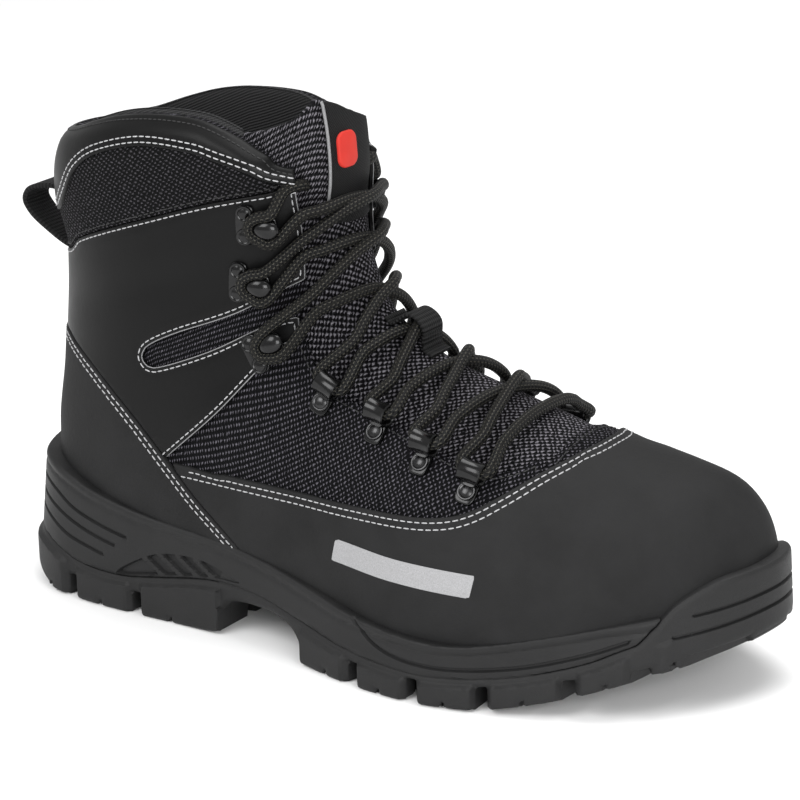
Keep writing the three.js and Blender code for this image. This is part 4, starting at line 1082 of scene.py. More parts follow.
def make_rand():
    patch = last_patch(0.0, 12.5, FINE)
    field(patch, "seam", SEAM["rand"], flip=True)
    field(patch, "back", SEAM["counter"], shift=-GAP)
    field(patch, "board", SEAM["feather"], shift=7.0)
    least(patch, "edge", "seam", "back", "board")

    def height(p, points):
        seam = p.fields["seam"]
        h = GAP + edge_round(p.fields["edge"], OVERLAY) + creases(points)
        return h + thread_groove(seam, 1.9) + thread_groove(seam, 4.3)

    _, patch, top, normals = make_layer("rand_nubuck", patch, "edge", height, MATERIALS["nubuck"],
                                        ("rand",))
    clear = lambda p: (p[:, 0] > RAND_THREADS_FROM[0]) & (p[:, 2] > RAND_THREADS_FROM[1])
    stitch_rows(patch, top, normals, "seam", (1.9, 4.3), only=clip_runs(clear))


def make_counter():
    patch = last_patch(9.0, 19.0, FINE)
    field(patch, "seam", SEAM["counter"], flip=True)
    field(patch, "board", SEAM["feather"], shift=7.0)
    least(patch, "edge", "seam", "board")

    def height(p, points):
        seam = p.fields["seam"]
        return (GAP + edge_round(p.fields["edge"], OVERLAY + 0.5) + creases(points)
                + thread_groove(seam, 1.4) + thread_groove(seam, 3.6))

    _, patch, top, normals = make_layer("counter_nubuck", patch, "edge", height, MATERIALS["nubuck"],
                                        ("heel_counter",))
    stitch_rows(patch, top, normals, "seam", (1.4, 3.6))


def make_ankle_panels():
    for name, turns, node in (("ankle_leather_outer", (0.0, 0.5), "ankle_panel_outer"),
                              ("ankle_leather_inner", (-0.5, 0.0), "ankle_panel_inner")):
        patch = last_patch(8.0, 19.0, FINE, turns)
        field(patch, "quarter", SEAM["quarter"])
        field(patch, "collar", SEAM["collar"], flip=True, shift=-GAP)
        field(patch, "counter", SEAM["counter"], shift=-GAP)
        field(patch, "throat", SEAM["throat"], flip=True)
        field(patch, "slot", SEAM["slot"], flip=True)
        field(patch, "rand", SEAM["rand"], shift=-GAP)
        least(patch, "front", "quarter", "slot", "throat")
        least(patch, "edge", "front", "collar", "counter", "rand")

        def height(p, points):
            front = p.fields["front"]
            return (GAP + edge_round(p.fields["edge"], OVERLAY) + creases(points)
                    + thread_groove(front, 1.7) + thread_groove(p.fields["collar"], 1.5, 0.9, 0.25))

        _, patch, top, normals = make_layer(name, patch, "edge", height, MATERIALS["leather"],
                                            (node,), weld=False)
        inside = lambda p: p[:, 0] > 0
        stitch_rows(patch, top, normals, "front", (1.7,), only=clip_runs(inside))
        stitch_rows(patch, top, normals, "collar", (1.5,))
        for points, out in trace(patch, top, normals, "front", 0.25):
            points, out = even_steps(points, out, 1.5)
            pipes.add(*tube(points, 0.22, 6, out))


PAD_FADE = 14.0


def pad_height(patch):
    """Thickness of the padded collar: thin along its seams, fullest two thirds of the way up."""
    low, high = patch.fields["collar"], patch.fields["top"]
    share = np.clip(low / np.maximum(low + high, 1e-6), 0, 1)
    full = np.sin(np.pi * share ** 1.5) ** 0.7
    fade = np.clip(patch.fields["throat"] / PAD_FADE, 0.3, 1)
    return PAD_EDGE + (PAD - PAD_EDGE) * full * fade


def collar_patch():
    patch = last_patch(14.0, 19.0, FINE)
    field(patch, "collar", SEAM["collar"])
    field(patch, "top", SEAM["top"], flip=True, tilt=COLLAR_TILT)
    field(patch, "throat", SEAM["throat"], flip=True)
    field(patch, "window", SEAM["window"])
    return patch


def make_collar():
    """The padded collar: a mesh window below, smooth leather above it and over the top."""
    patch = collar_patch()
    patch.fields["under"] = -patch.fields["window"] + 3.0
    least(patch, "edge", "collar", "top", "throat", "under")
    obj, patch, top, normals = make_layer(
        "collar_mesh", patch, "edge", lambda p, _: pad_height(p), MATERIALS["collar_mesh"], (),
        weld=False)
    stitch_rows(patch, top, normals, "collar", (1.3,), pile=dark_threads)

    patch = collar_patch()
    least(patch, "edge", "collar", "top", "throat", "window")

    def height(p, points):
        window = p.fields["window"]
        roll = ease(p.fields["top"], 0.0, 5.0) ** 0.5
        return (pad_height(p) * (0.35 + 0.65 * roll) + edge_round(p.fields["edge"], 1.0)
                + thread_groove(window, 1.5) + thread_groove(window, 3.6))

    obj, patch, top, normals = make_layer("collar_leather", patch, "edge", height, MATERIALS["leather"],
                                          ("padded_collar",))
    stitch_rows(patch, top, normals, "window", (1.5, 3.6))
    stitch_rows(patch, top, normals, "top", (1.6,), pile=dark_threads, pitch=2.2, length=1.7)


LINING_FOOT = 0.70
LINING_ROUND = 3.0


def make_lining():
    """The cuff inside the collar, rounded over at its top."""
    patch = last_patch(13.0, 19.0, 1.8)
    points, normals = patch.surface()
    patch.fields["foot"] = points[:, 2] - LINING_FOOT * SHAFT_HEIGHT
    patch.fields["front"] = TONGUE_EDGE[0][0] - GAP - points[:, 0]
    field(patch, "top", SEAM["top"], flip=True, tilt=COLLAR_TILT, shift=LINING_RISE)
    least(patch, "edge", "foot", "front", "top")

    patch.keep("edge")
    patch.cut("top", 0.4, 1.0, 2.0, LINING_ROUND)
    patch.tidy()
    points, normals = patch.surface()
    lip = LINING * (1 - quarter(patch.fields["top"], LINING_ROUND))
    top = points - normals * (WALL + GAP + lip)[:, None]
    bottom = points - normals * (WALL + GAP + LINING - 0.5 * lip)[:, None]
    verts, faces = close_shell(patch, top, bottom)
    add_mesh("lining_cuff", verts, faces, MATERIALS["lining"], ("collar_lining",),
             {"cloth": cloth_of(patch)}, 42)


TONGUE_TOP = np.array([(-0.40, 0.960), (-0.34, 0.985), (-0.24, 1.028), (-0.128, 1.082), (-0.06, 1.070),
                       (0.02, 1.045), (0.13, 1.018), (0.24, 0.995), (0.34, 0.970), (0.40, 0.955)])
TONGUE_TOP = TONGUE_TOP * [BALL_WIDTH, SHAFT_HEIGHT]
TONGUE_FRONT = -WALL - GAP


def tongue_patch(step, turns=(-0.24, 0.24), low=5.5):
    patch = last_patch(low, 19.0, step, turns)
    points, _ = patch.surface()
    patch.fields["y"] = points[:, 1]
    patch.fields["z"] = points[:, 2]
    patch.fields["crest"] = np.interp(points[:, 1], TONGUE_TOP[:, 0], TONGUE_TOP[:, 1]) - points[:, 2]
    field(patch, "side", SEAM["tongue"])
    return patch


def tongue_padding(points):
    """Soft quilting of the tongue between the laces."""
    return 0.35 * np.sin(points[:, 2] / 9.0) * np.cos(points[:, 1] / 14.0)


def make_tongue():
    patch = tongue_patch(1.8)
    least(patch, "edge", "side", "crest")

    def height(p, points):
        return TONGUE_FRONT + edge_round(p.fields["edge"], 1.2, 2.0) - 1.2 + tongue_padding(points)

    obj, *_ = make_layer("tongue_mesh", patch, "edge", height, MATERIALS["tongue_mesh"],
                         ("tongue",), base=TONGUE_FRONT - TONGUE, weld=False)


PANEL_LEFT, PANEL_RIGHT, PANEL_FOOT = -0.122, 0.10, 0.835


def make_tongue_panel():
    patch = tongue_patch(1.5, (-0.14, 0.16), 14.0)
    patch.fields["left"] = patch.fields["y"] - PANEL_LEFT * BALL_WIDTH
    patch.fields["right"] = PANEL_RIGHT * BALL_WIDTH - patch.fields["y"]
    patch.fields["foot"] = patch.fields["z"] - PANEL_FOOT * SHAFT_HEIGHT
    patch.fields["head"] = patch.fields["crest"] - 0.4
    least(patch, "edge", "left", "right", "foot", "head")

    def height(p, points):
        return TONGUE_FRONT + edge_round(p.fields["edge"], 1.1) + 0.3 + tongue_padding(points)

    _, patch, top, normals = make_layer("tongue_panel_twill", patch, "edge", height, MATERIALS["panel"],
                                        ("tongue_panel",), base=TONGUE_FRONT - 0.3, weld=False)
    for points, out in trace(patch, top, normals, "left", 0.3):
        points, out = even_steps(points, out, 1.5)
        pipes.add(*tube(points + out * 0.1, 0.6, 8, out))


BADGE = {"row": 16.95, "turn": 0.012, "width": 10.5, "height": 13.5, "corner": 3.6, "thick": 1.0}


def make_badge():
    """A plain red patch where the tongue carries a mark: a rectangle with round corners."""
    b = BADGE
    pile = Pile()
    steps = 10
    corners = []
    for cx, cy, start in ((1, 1, 0), (-1, 1, 90), (-1, -1, 180), (1, -1, 270)):
        for k in range(steps + 1):
            angle = math.radians(start + 90 * k / steps)
            corners.append((cx * (b["width"] / 2 - b["corner"]) + b["corner"] * math.cos(angle),
                            cy * (b["height"] / 2 - b["corner"]) + b["corner"] * math.sin(angle)))
    outline = np.array(corners)
    origin = raised(np.array(b["row"]), np.array(b["turn"]), np.array(TONGUE_FRONT + 1.5))
    out = last_normal(np.array(b["row"]), np.array(b["turn"]))
    up = unit(np.array([0, 0, 1.0]) - out * out[2])
    across = np.cross(up, out)
    rings = []
    for scale, lift in ((1.0, -0.4), (1.0, 0.45), (0.96, 0.8), (0.88, b["thick"]), (0.0, b["thick"])):
        rings.append(origin + outline[:, :1] * across * scale + outline[:, 1:] * up * scale + out * lift)
    count = len(outline)
    pile.add(np.concatenate(rings), [tuple(range(count))[::-1], *ring_faces(len(rings), count)])
    pile.make("tongue_badge", MATERIALS["badge"], "leather")


# The sole: its side is a patch over height and the way round the outline
OUTLINE_SAMPLES = 1600
SIDE_FOOT = 0.6 * HEEL_LIFT
SIDE_TOP = 1.9 * HEEL_LIFT
SIDE_TAPER = 1.6
HEEL_BACK = 0.12 * LENGTH
OUTLINE = outline_curve(OUTLINE_SAMPLES)
OUTLINE_LOOP = np.vstack([OUTLINE, OUTLINE[:1]])
OUTLINE_REACH = reach_of(OUTLINE_LOOP)
OUTLINE_AHEAD = unit(np.roll(OUTLINE, -3, 0) - np.roll(OUTLINE, 3, 0))
OUTLINE_AHEAD = np.vstack([OUTLINE_AHEAD, OUTLINE_AHEAD[:1]])


def sole_side(z, q):
    """Points and outward normals of the sole's side; q runs round from the heel, -0.5 to 0.5."""
    reach = (q + 0.5) * OUTLINE_REACH[-1]
    x, y, ahead_x, ahead_y = (np.interp(reach, OUTLINE_REACH, data) for data in (
        OUTLINE_LOOP[:, 0], OUTLINE_LOOP[:, 1], OUTLINE_AHEAD[:, 0], OUTLINE_AHEAD[:, 1]))
    out = unit(np.stack([ahead_y, -ahead_x, np.zeros_like(x)], -1))
    climb = np.clip((z - SIDE_FOOT) / (SIDE_TOP - SIDE_FOOT), 0, 1)
    lean = SIDE_TAPER + (SOLE_TAPER - SIDE_TAPER) * np.clip(1 - x / HEEL_BACK, 0, 1)
    return np.stack([x, y, z], -1) - out * (climb * lean)[:, None], out


def near_line(points, curve):
    distance, _ = side_distance(points[:, 0], points[:, 2], curve)
    return np.abs(distance)


def height_of(curve, x):
    return np.interp(x, curve[:, 0], curve[:, 1])


# Gaps between the lugs: x, slant in degrees. Then the thin slits across each lug.
TREAD_GAPS = [(0.101, -12), (0.206, 0), (0.564, 14), (0.652, 10), (0.739, 4), (0.835, -8), (0.908, -18),
              (0.962, -26)]
CHEVRONS = [0.055, 0.150, 0.255, 0.555, 0.650, 0.750, 0.850]
SIPES = [0.062, 0.152, 0.262, 0.522, 0.607, 0.694, 0.785, 0.872, 0.936]
CHEVRON_SLANT = 24
GAP_WIDTH = 4.2
GAP_DEPTH = 9.0
SIPE_WIDTH = 1.3
SIPE_DEPTH = 3.0
SKEW = 2.2
LUG_REACH = 20.0
SOLE_FLOOR = 3.0
HEEL_BREAST = 0.340 * LENGTH
FORE_START = 0.480 * LENGTH
TIP_SLOPE = TOE_TIP[1] * ACROSS[BALL] / (TOE_TIP[0] * LENGTH)


def outline_at(x, outer_side):
    on_side = (OUTLINE[:, 1] < OUTLINE[:, 0] * TIP_SLOPE) == outer_side
    rows = OUTLINE[on_side]
    rows = rows[np.argsort(rows[:, 0])]
    return float(np.interp(x, rows[:, 0], rows[:, 1]))


def slit_distance(x, y, at, length, slant, width):
    """Distance outside a straight slit, negative inside it."""
    c, s = math.cos(math.radians(slant)), math.sin(math.radians(slant))
    dx, dy = x - at[0], y - at[1]
    return np.maximum(np.abs(c * dx + s * dy) - width / 2, np.abs(-s * dx + c * dy) - length / 2)


def edge_slits(x, y, rows, width, reach):
    away = np.full_like(x, FAR)
    for share, slant in rows:
        for outer_side, skew in ((True, 0.0), (False, SKEW)):
            at_x = share * LENGTH + skew
            at = (at_x, outline_at(at_x, outer_side))
            way = slant if outer_side else -slant
            away = np.minimum(away, slit_distance(x, y, at, 2 * reach, way, width))
    return away


def gap_field(x, y):
    return edge_slits(x, y, TREAD_GAPS, GAP_WIDTH, LUG_REACH)


def sipe_field(x, y):
    return edge_slits(x, y, [(share, 0) for share in SIPES], SIPE_WIDTH, LUG_REACH * 0.55)


def gap_top(x):
    """How high the gaps between the lugs reach."""
    ground = height_of(SEAM["ground"], x)
    return np.maximum(np.minimum(ground + GAP_DEPTH, height_of(SEAM["board"], x) - SOLE_FLOOR), ground + 1.0)


def in_tread(x):
    return (x < HEEL_BREAST) | (x > FORE_START)


def last_tree(height):
    """The outside of the overlays as a body that rays can meet."""
    t = np.linspace(0, 14, 120)
    u = np.linspace(-0.5, 0.5, 121)
    tt, uu = np.meshgrid(t, u, indexing="ij")
    points = raised(tt.ravel(), uu.ravel(), np.full(tt.size, height))
    return BVHTree.FromPolygons(points.tolist(), grid_quads(*tt.shape).tolist())


UNDER_SKIN = 0.6
DEEPEST = 12.0


def inward_depth(tree, points, out, default):
    """How far in from the sole's side the upper stands."""
    depth = np.full(len(points), default)
    for i, (point, way) in enumerate(zip(points, out)):
        hit = tree.ray_cast(Vector(point), Vector(-way), DEEPEST * 2)
        if hit[0] is not None:
            depth[i] = min(hit[3] + UNDER_SKIN, DEEPEST)
    return depth


SIDE_STEP = 1.35


def side_patch():
    z = np.arange(-1.0, SIDE_TOP + 2.0, SIDE_STEP)
    q = np.linspace(-0.5, 0.5, int(OUTLINE_REACH[-1] / SIDE_STEP) + 1)
    patch = Patch(sole_side, z, q)
    points, out = patch.surface()
    for name in ("parting", "feather", "bumper"):
        patch.fields[name] = on_surface(points, out, SEAM[name])
    patch.fields["feather"] *= -1
    patch.fields["x"] = points[:, 0]
    return patch, points, out


LINE_CUTS = (-0.85, -0.35, 0.35, 0.85)


def cut_lines(patch, points, curves):
    """Gives the mesh edges along each moulded line. Returns the lines as smooth curves."""
    curves = [smooth_curve(curve) for curve in curves]
    for number, curve in enumerate(curves):
        patch.fields[f"line_{number}"], _ = side_distance(points[:, 0], points[:, 2], curve)
    return curves


def split_lines(patch, curves):
    for number in range(len(curves)):
        patch.cut(f"line_{number}", *LINE_CUTS)


def line_distance(points, curves):
    return np.minimum.reduce([near_line(points, curve) for curve in curves])


def line_depth(distance):
    """A moulded line: flat at its foot, with sloping sides."""
    return -GROOVE_DEPTH * np.clip((0.85 - distance) / 0.5, 0, 1)


RIB_HALF = 0.9


def arch_fields(patch, points):
    """Inside the arch panel, and inside its ribs."""
    x, z = points[:, 0], points[:, 2]
    panel = smooth_curve(ARCH_PANEL, 6, closed=True)
    away, _ = side_distance(x, z, np.vstack([panel, panel[:1]]))
    patch.fields["arch"] = -away
    ribs = np.full(len(x), FAR)
    for rib_x, rib_z in ARCH_RIBS:
        dx, dz = x - rib_x * LENGTH, z - rib_z * HEEL_LIFT
        norm = math.hypot(1, RIB_SLOPE)
        across = np.abs(dz - RIB_SLOPE * dx) / norm
        along = np.abs(dx + RIB_SLOPE * dz) / norm - RIB_LENGTH / 2
        ribs = np.minimum(ribs, np.maximum(across - RIB_HALF, along))
    patch.fields["ribs"] = ribs


def lip_round(distance, reach, deep):
    """How far an edge is rounded back from the surface."""
    return -deep * (1 - quarter(distance, reach))


def make_midsole(tree):
    patch, points, out = side_patch()
    lines = cut_lines(patch, points, [*HEEL_LINES, FORE_LINE])
    arch_fields(patch, points)
    patch.fields["low"] = patch.fields["parting"] - GAP / 2
    patch.fields["front"] = patch.fields["bumper"] - GAP / 2
    least(patch, "edge", "low", "feather", "front")
    patch.keep("edge")
    split_lines(patch, lines)
    for name, levels in (("arch", (0.0, 0.7)), ("ribs", (0.0, 0.5)), ("feather", (0.3, 0.9, 1.8, 3.2, 4.2))):
        patch.cut(name, *levels)
    patch.tidy()
    points, out = patch.surface()
    f = patch.fields
    sunk = np.clip(f["arch"] / 0.7, 0, 1) * np.clip(f["ribs"] / 0.5, 0, 1)
    height = (line_depth(line_distance(points, lines)) - 1.5 * sunk + lip_round(f["feather"], 1.8, 1.3)
              - 0.5 * np.exp(-((f["feather"] - 3.7) / 0.7) ** 2) + lip_round(f["low"], 0.8, 0.5)
              + lip_round(f["front"], 0.8, 0.6))
    waist = ease(f["x"], FORE_START, FORE_START + 40) * (1 - ease(f["x"], 0.86 * LENGTH, 0.92 * LENGTH))
    share = np.clip(f["low"] / np.maximum(f["low"] + f["feather"], 1e-6), 0, 1)
    height -= 1.0 * waist * np.sin(np.pi * share)
    deep = inward_depth(tree, points, out, 7.0)
    verts, faces = close_shell(patch, points + out * height[:, None], points - out * deep[:, None])
    add_mesh("midsole_side", verts, faces, MATERIALS["midsole"], ("midsole",), None, 38, True)


CHAMFER = 0.7


def make_outsole(tree):
    patch, points, out = side_patch()
    lines = cut_lines(patch, points, BUMPER_LINES)
    x, y, z = points.T
    ground = height_of(SEAM["ground"], x)
    patch.fields["gap"] = np.where(in_tread(x), gap_field(x, y), FAR)
    patch.fields["sipe"] = np.where(in_tread(x), sipe_field(x, y), FAR)
    patch.fields["above"] = z - ground - CHAMFER
    patch.fields["over_gap"] = z - gap_top(x)
    patch.fields["notch"] = np.maximum(patch.fields["gap"], patch.fields["over_gap"])
    patch.fields["over_sipe"] = z - ground - SIPE_DEPTH
    patch.fields["cut"] = np.maximum(patch.fields["sipe"], patch.fields["over_sipe"])
    patch.fields["low"] = -patch.fields["parting"] - GAP / 2
    patch.fields["front"] = -patch.fields["bumper"] - GAP / 2
    patch.fields["body"] = np.maximum(patch.fields["low"], patch.fields["front"])
    least(patch, "edge", "body", "above", "notch", "cut")
    patch.keep("edge")
    split_lines(patch, lines)
    for name, levels in (("edge", (0.25, 0.8, 1.5, 2.3)), ("low", (1.6, 3.2))):
        patch.cut(name, *levels)
    patch.tidy()
    points, out = patch.surface()
    f = patch.fields
    height = line_depth(line_distance(points, lines)) + lip_round(f["edge"], 2.3, 1.1)
    lug = ease(f["low"], 1.6, 3.4) * ease(np.maximum(f["gap"], 0), 0.0, 2.4) * in_tread(f["x"])
    height += 1.9 * lug * (1 - ease(f["x"], 0.90 * LENGTH, 0.96 * LENGTH))
    deep = inward_depth(tree, points, out, 6.0)
    deep = np.where(points[:, 2] < height_of(SEAM["board"], points[:, 0]), np.minimum(deep, 6.0), deep)
    verts, faces = close_shell(patch, points + out * height[:, None], points - out * deep[:, None])
    add_mesh("outsole_side", verts, faces, MATERIALS["rubber"], ("outsole",), None, 38, True)


def inside_outline(x, y):
    loop = OUTLINE_LOOP[::4]
    away, _ = side_distance(x, y, np.vstack([loop, loop[:1]]))
    return away


def make_tread():
    """The underside: lugs round the edge, chevrons down the middle, gaps between them."""
    rows = np.arange(-4, LENGTH + 4, FINE)
    columns = np.arange(-64, 62, FINE)
    patch = Patch(lambda p, q: (np.stack([p, q, np.zeros_like(p)], -1), None), rows, columns)
    x, y = patch.fields["p"], patch.fields["q"]
    patch.fields["inside"] = inside_outline(x, y) - 0.8
    gap = gap_field(x, y)
    for share in CHEVRONS:
        low = outline_at(share * LENGTH, True) + LUG_REACH
        high = outline_at(share * LENGTH, False) - LUG_REACH
        half = (high - low) / 2
        for middle, slant in ((low + half / 2, CHEVRON_SLANT), (high - half / 2, -CHEVRON_SLANT)):
            away = slit_distance(x, y, (share * LENGTH, middle), half * 1.1, slant, GAP_WIDTH)
            gap = np.minimum(gap, away)
    ring = np.abs(patch.fields["inside"] + 0.8 - LUG_REACH - GAP_WIDTH / 2) - GAP_WIDTH / 2
    gap = np.minimum(gap, ring)
    patch.fields["gap"] = np.where(in_tread(x), gap, FAR)
    patch.fields["sipe"] = np.where(in_tread(x), sipe_field(x, y), FAR)
    patch.keep("inside")
    for name, levels in (("gap", (0.0, 0.9)), ("sipe", (0.0, 0.4)), ("inside", (0.8,))):
        patch.cut(name, *levels)
    patch.tidy()
    f = patch.fields
    x, y = f["p"], f["q"]
    ground = height_of(SEAM["ground"], x)
    gap_share = 1 - np.clip(f["gap"] / 0.9, 0, 1)
    sipe_share = 1 - np.clip(f["sipe"] / 0.4, 0, 1)
    low = ground + np.maximum((gap_top(x) - ground) * gap_share, SIPE_DEPTH * sipe_share)
    low += CHAMFER * (1 - np.clip(f["inside"] / 0.8, 0, 1)) + 0.02
    high = np.maximum(np.minimum(height_of(SEAM["board"], x) - 0.5, ground + 14), gap_top(x) + 0.6)
    under = np.stack([x, y, low], 1)
    over = np.stack([x, y, high], 1)
    verts, faces = close_shell(patch, under, over, skip_back=False)
    add_mesh("outsole_tread", verts, faces, MATERIALS["rubber"], (), None, 35)


# Lace hardware and the lace. Columns: name, row, turn, kind, twist in degrees, seat
ON_TONGUE = LACE / 2 + GAP - WALL
RING_SEAT = 0.8
HOOK_SEAT = GAP + OVERLAY + GAP
EYELETS = [
    ("d_ring_1", 7.30, 0.133, "ring", 0, GAP),
    ("d_ring_2", 8.15, 0.128, "ring", 0, RING_SEAT),
    ("d_ring_3", 9.15, 0.127, "ring", 0, RING_SEAT),
    ("d_ring_4", 10.40, 0.140, "ring", 0, RING_SEAT),
    ("hook_1", 12.25, 0.158, "hook", -14, HOOK_SEAT),
    ("hook_2", 14.30, 0.160, "hook", -36, HOOK_SEAT),
    ("hook_3", 15.75, 0.158, "hook", -25, HOOK_SEAT),
]
TOWARD = 0.03


def surface_frame(row, turn, height, twist):
    """Origin and axes on the last: z out of it, y towards the tongue. turn is negative on the inner side."""
    row, turn_at = np.array(float(row)), np.array(float(turn))
    origin = raised(row, turn_at, np.array(float(height)))
    z = last_normal(row, turn_at)
    way = -1.0 if turn > 0 else 1.0
    toward = last_point(row, turn_at + way * TOWARD) - last_point(row, turn_at)
    x = unit(np.cross(toward, z))
    y = np.cross(z, x)
    angle = math.radians(twist if turn > 0 else -twist)
    c, s = math.cos(angle), math.sin(angle)
    return origin, np.stack([c * x + s * y, -s * x + c * y, z])


def to_place(frame_at, local):
    origin, axes = frame_at
    return origin + np.asarray(local, float) @ axes


def turned_body(profile, sides=28):
    """A body turned about the local z axis from (radius, height) rows."""
    angle = np.arange(sides) / sides * 2 * np.pi
    points = [(r * math.cos(a), r * math.sin(a), z) for r, z in profile for a in angle]
    return np.array(points), closed_faces(len(profile), sides)


RIVET_PROFILE = [(1.0, 0), (1.0, 0.55), (0.95, 0.85), (0.84, 0.95), (0.74, 0.80), (0.66, 0.62), (0.60, 0.70),
                 (0.45, 0.95), (0.22, 1.10)]


def rivet_body(radius, base):
    """A rivet head: a raised rim round a domed middle."""
    profile = [(radius * share, base + z) for share, z in RIVET_PROFILE]
    return turned_body([*profile, (0.05, base + 1.14)])


def rounded_plate(width, length, centre_y, thick, waist=0.0, base=0.0):
    """A plate with round ends, its edge rolled over. waist draws it in towards the tongue."""
    steps = 12
    ring = []
    for k in range(4 * steps):
        angle = 2 * math.pi * k / (4 * steps)
        cx, sy = math.cos(angle), math.sin(angle)
        px = math.copysign(abs(cx) ** 0.55, cx) * width / 2
        py = math.copysign(abs(sy) ** 0.55, sy) * length / 2
        ring.append((px * (1 - waist * (py / length + 0.5)), py))
    ring = np.array(ring)
    points = []
    for scale, z in ((1.0, base - 0.6), (1.0, base + thick * 0.55), (0.965, base + thick * 0.88),
                     (0.90, base + thick), (0.02, base + thick)):
        points.append(np.stack([ring[:, 0] * scale, centre_y + ring[:, 1] * scale, np.full(len(ring), z)], 1))
    return np.concatenate(points), closed_faces(len(points), len(ring))


LOOP = {"y": 6.8, "z": 3.9, "radius": 3.7, "half": 4.1, "sides": 26}


def saddle_body():
    """The loop of a D-ring: a round tunnel for the lace, flared to a rolled rim at both ends."""
    wide, radius = LOOP["half"], LOOP["radius"]
    section = []
    for share in np.linspace(-1, 1, 9):
        section.append((share * wide, radius + 0.15 + 0.55 * share ** 2))
    section.append((wide + 0.35, radius + 0.25))
    for share in np.linspace(1, -1, 9):
        section.append((share * wide * 0.96, radius - 1.0 + 0.65 * share ** 2))
    section.append((-wide - 0.35, radius + 0.25))
    sides = LOOP["sides"]
    points = []
    for k in range(sides):
        angle = 2 * math.pi * k / sides
        for sx, r in section:
            points.append((sx, LOOP["y"] + r * math.cos(angle), LOOP["z"] + r * math.sin(angle)))
    return np.array(points), ring_faces(sides, len(section), wrap=True)


def egg_body(centre, half, tilt=0.0):
    """A smooth knob: an ellipsoid a little fuller at its front."""
    rows, sides = 14, 22
    points = []
    for i in range(1, rows):
        polar = math.pi * i / rows
        for j in range(sides):
            angle = 2 * math.pi * j / sides
            y = -math.cos(polar)
            full = 1 + 0.16 * y
            x = math.sin(polar) * math.cos(angle) * full
            z = math.sin(polar) * math.sin(angle) * full
            points.append((centre[0] + x * half[0], centre[1] + y * half[1],
                           centre[2] + z * half[2] + tilt * y * half[1]))
    return np.array(points), closed_faces(rows - 1, sides)


def add_ring(frame_at, dark, bright):
    for points, faces in (rounded_plate(8.0, 11.4, 1.0, 1.0, 0.12), saddle_body(),
                          rounded_plate(5.4, 4.6, 3.8, 2.4, 0.0, 0.2)):
        dark.add(to_place(frame_at, points), faces)
    points, faces = rivet_body(3.5, 0.9)
    bright.add(to_place(frame_at, points), faces)


HOOK_SPREAD = 4.4
DISC_BACK = -1.4


def add_hook(frame_at, dark):
    bodies = [rounded_plate(15.2, 7.4, -1.2, 1.0), rounded_plate(8.6, 12.0, 5.0, 0.9, 0.0, 0.5)]
    bodies.append(tube([(0, 4.2, 0.6), (0, 4.6, 2.4), (0, 5.6, 4.0), (0, 7.0, 4.8)],
                       [2.0, 1.7, 1.8, 2.0], 14)[:2])
    bodies.append(egg_body((0, 8.2, 5.1), (3.6, 4.8, 2.2), -0.04))
    for points, faces in bodies:
        dark.add(to_place(frame_at, points), faces)
    for spot in (-HOOK_SPREAD, HOOK_SPREAD):
        points, faces = rivet_body(3.2, 0.9)
        dark.add(to_place(frame_at, points + [spot, DISC_BACK, 0]), faces)


def hardware_frames():
    frames = {}
    for name, row, turn, _, twist, seat in EYELETS:
        frames[name, "outer"] = surface_frame(row, turn, seat, twist)
        frames[name, "inner"] = surface_frame(row, -turn, seat, twist)
    return frames


def make_hardware(frames):
    for name, _, _, kind, _, _ in EYELETS:
        for side_name in ("outer", "inner"):
            dark, bright = Pile(), Pile()
            if kind == "ring":
                add_ring(frames[name, side_name], dark, bright)
            else:
                add_hook(frames[name, side_name], dark)
            node = f"{name}_{side_name}"
            dark.make(f"{node}_metal", MATERIALS["metal"], "hardware", (node,))
            if bright.count:
                bright.make(f"{node}_rivet", MATERIALS["rivet"], "hardware")


LACE_TURNS = {"ring": 0.088, "hook": 0.104}
LACE_EDGE = {"ring": 3.1, "hook": 4.8}
LACE_SPLIT = {"ring": 0.15, "hook": 0.24}
# Where the lace runs through an eyelet, toe side first: x towards the toe, y towards the tongue, z out
THROUGH = {
    "ring": [(5.6, 8.6, 4.0), (2.6, 6.9, 3.9), (-2.6, 6.9, 3.9), (-5.6, 8.6, 4.0)],
    "hook": [(5.7, 9.4, 4.2), (4.4, 4.8, 4.2), (2.0, 1.5, 4.0), (-2.0, 1.5, 4.0), (-4.4, 4.8, 4.2),
             (-5.7, 9.4, 4.2)],
}


def through(frames, index, outer_side):
    name, kind = EYELETS[index][0], EYELETS[index][3]
    local = np.array(THROUGH[kind])
    if not outer_side:
        local = local * [-1, 1, 1]
    return to_place(frames[name, "outer" if outer_side else "inner"], local)


def strand(first, second, from_outer):
    """Points of one strand over the tongue, between two eyelets on opposite sides."""
    kind_a, kind_b = EYELETS[first][3], EYELETS[second][3]
    way = 1.0 if from_outer else -1.0
    if first == second:
        start_row = end_row = EYELETS[first][1] - LACE_SPLIT[kind_a]
    else:
        start_row = EYELETS[first][1] + LACE_SPLIT[kind_a]
        end_row = EYELETS[second][1] - LACE_SPLIT[kind_b]
    s = np.linspace(0.04, 0.96, 11)
    row = start_row + (end_row - start_row) * s
    turn = way * (LACE_TURNS[kind_a] * (1 - s) - LACE_TURNS[kind_b] * s)
    edge = LACE_EDGE[kind_a] * (1 - s) + LACE_EDGE[kind_b] * s
    lift = edge + (ON_TONGUE - edge) * np.sin(np.pi * s) ** 2
    if from_outer and first != second:
        lift = lift + LACE * 0.93 * np.exp(-((s - 0.5) / 0.17) ** 2)
    return raised(row, turn, lift)


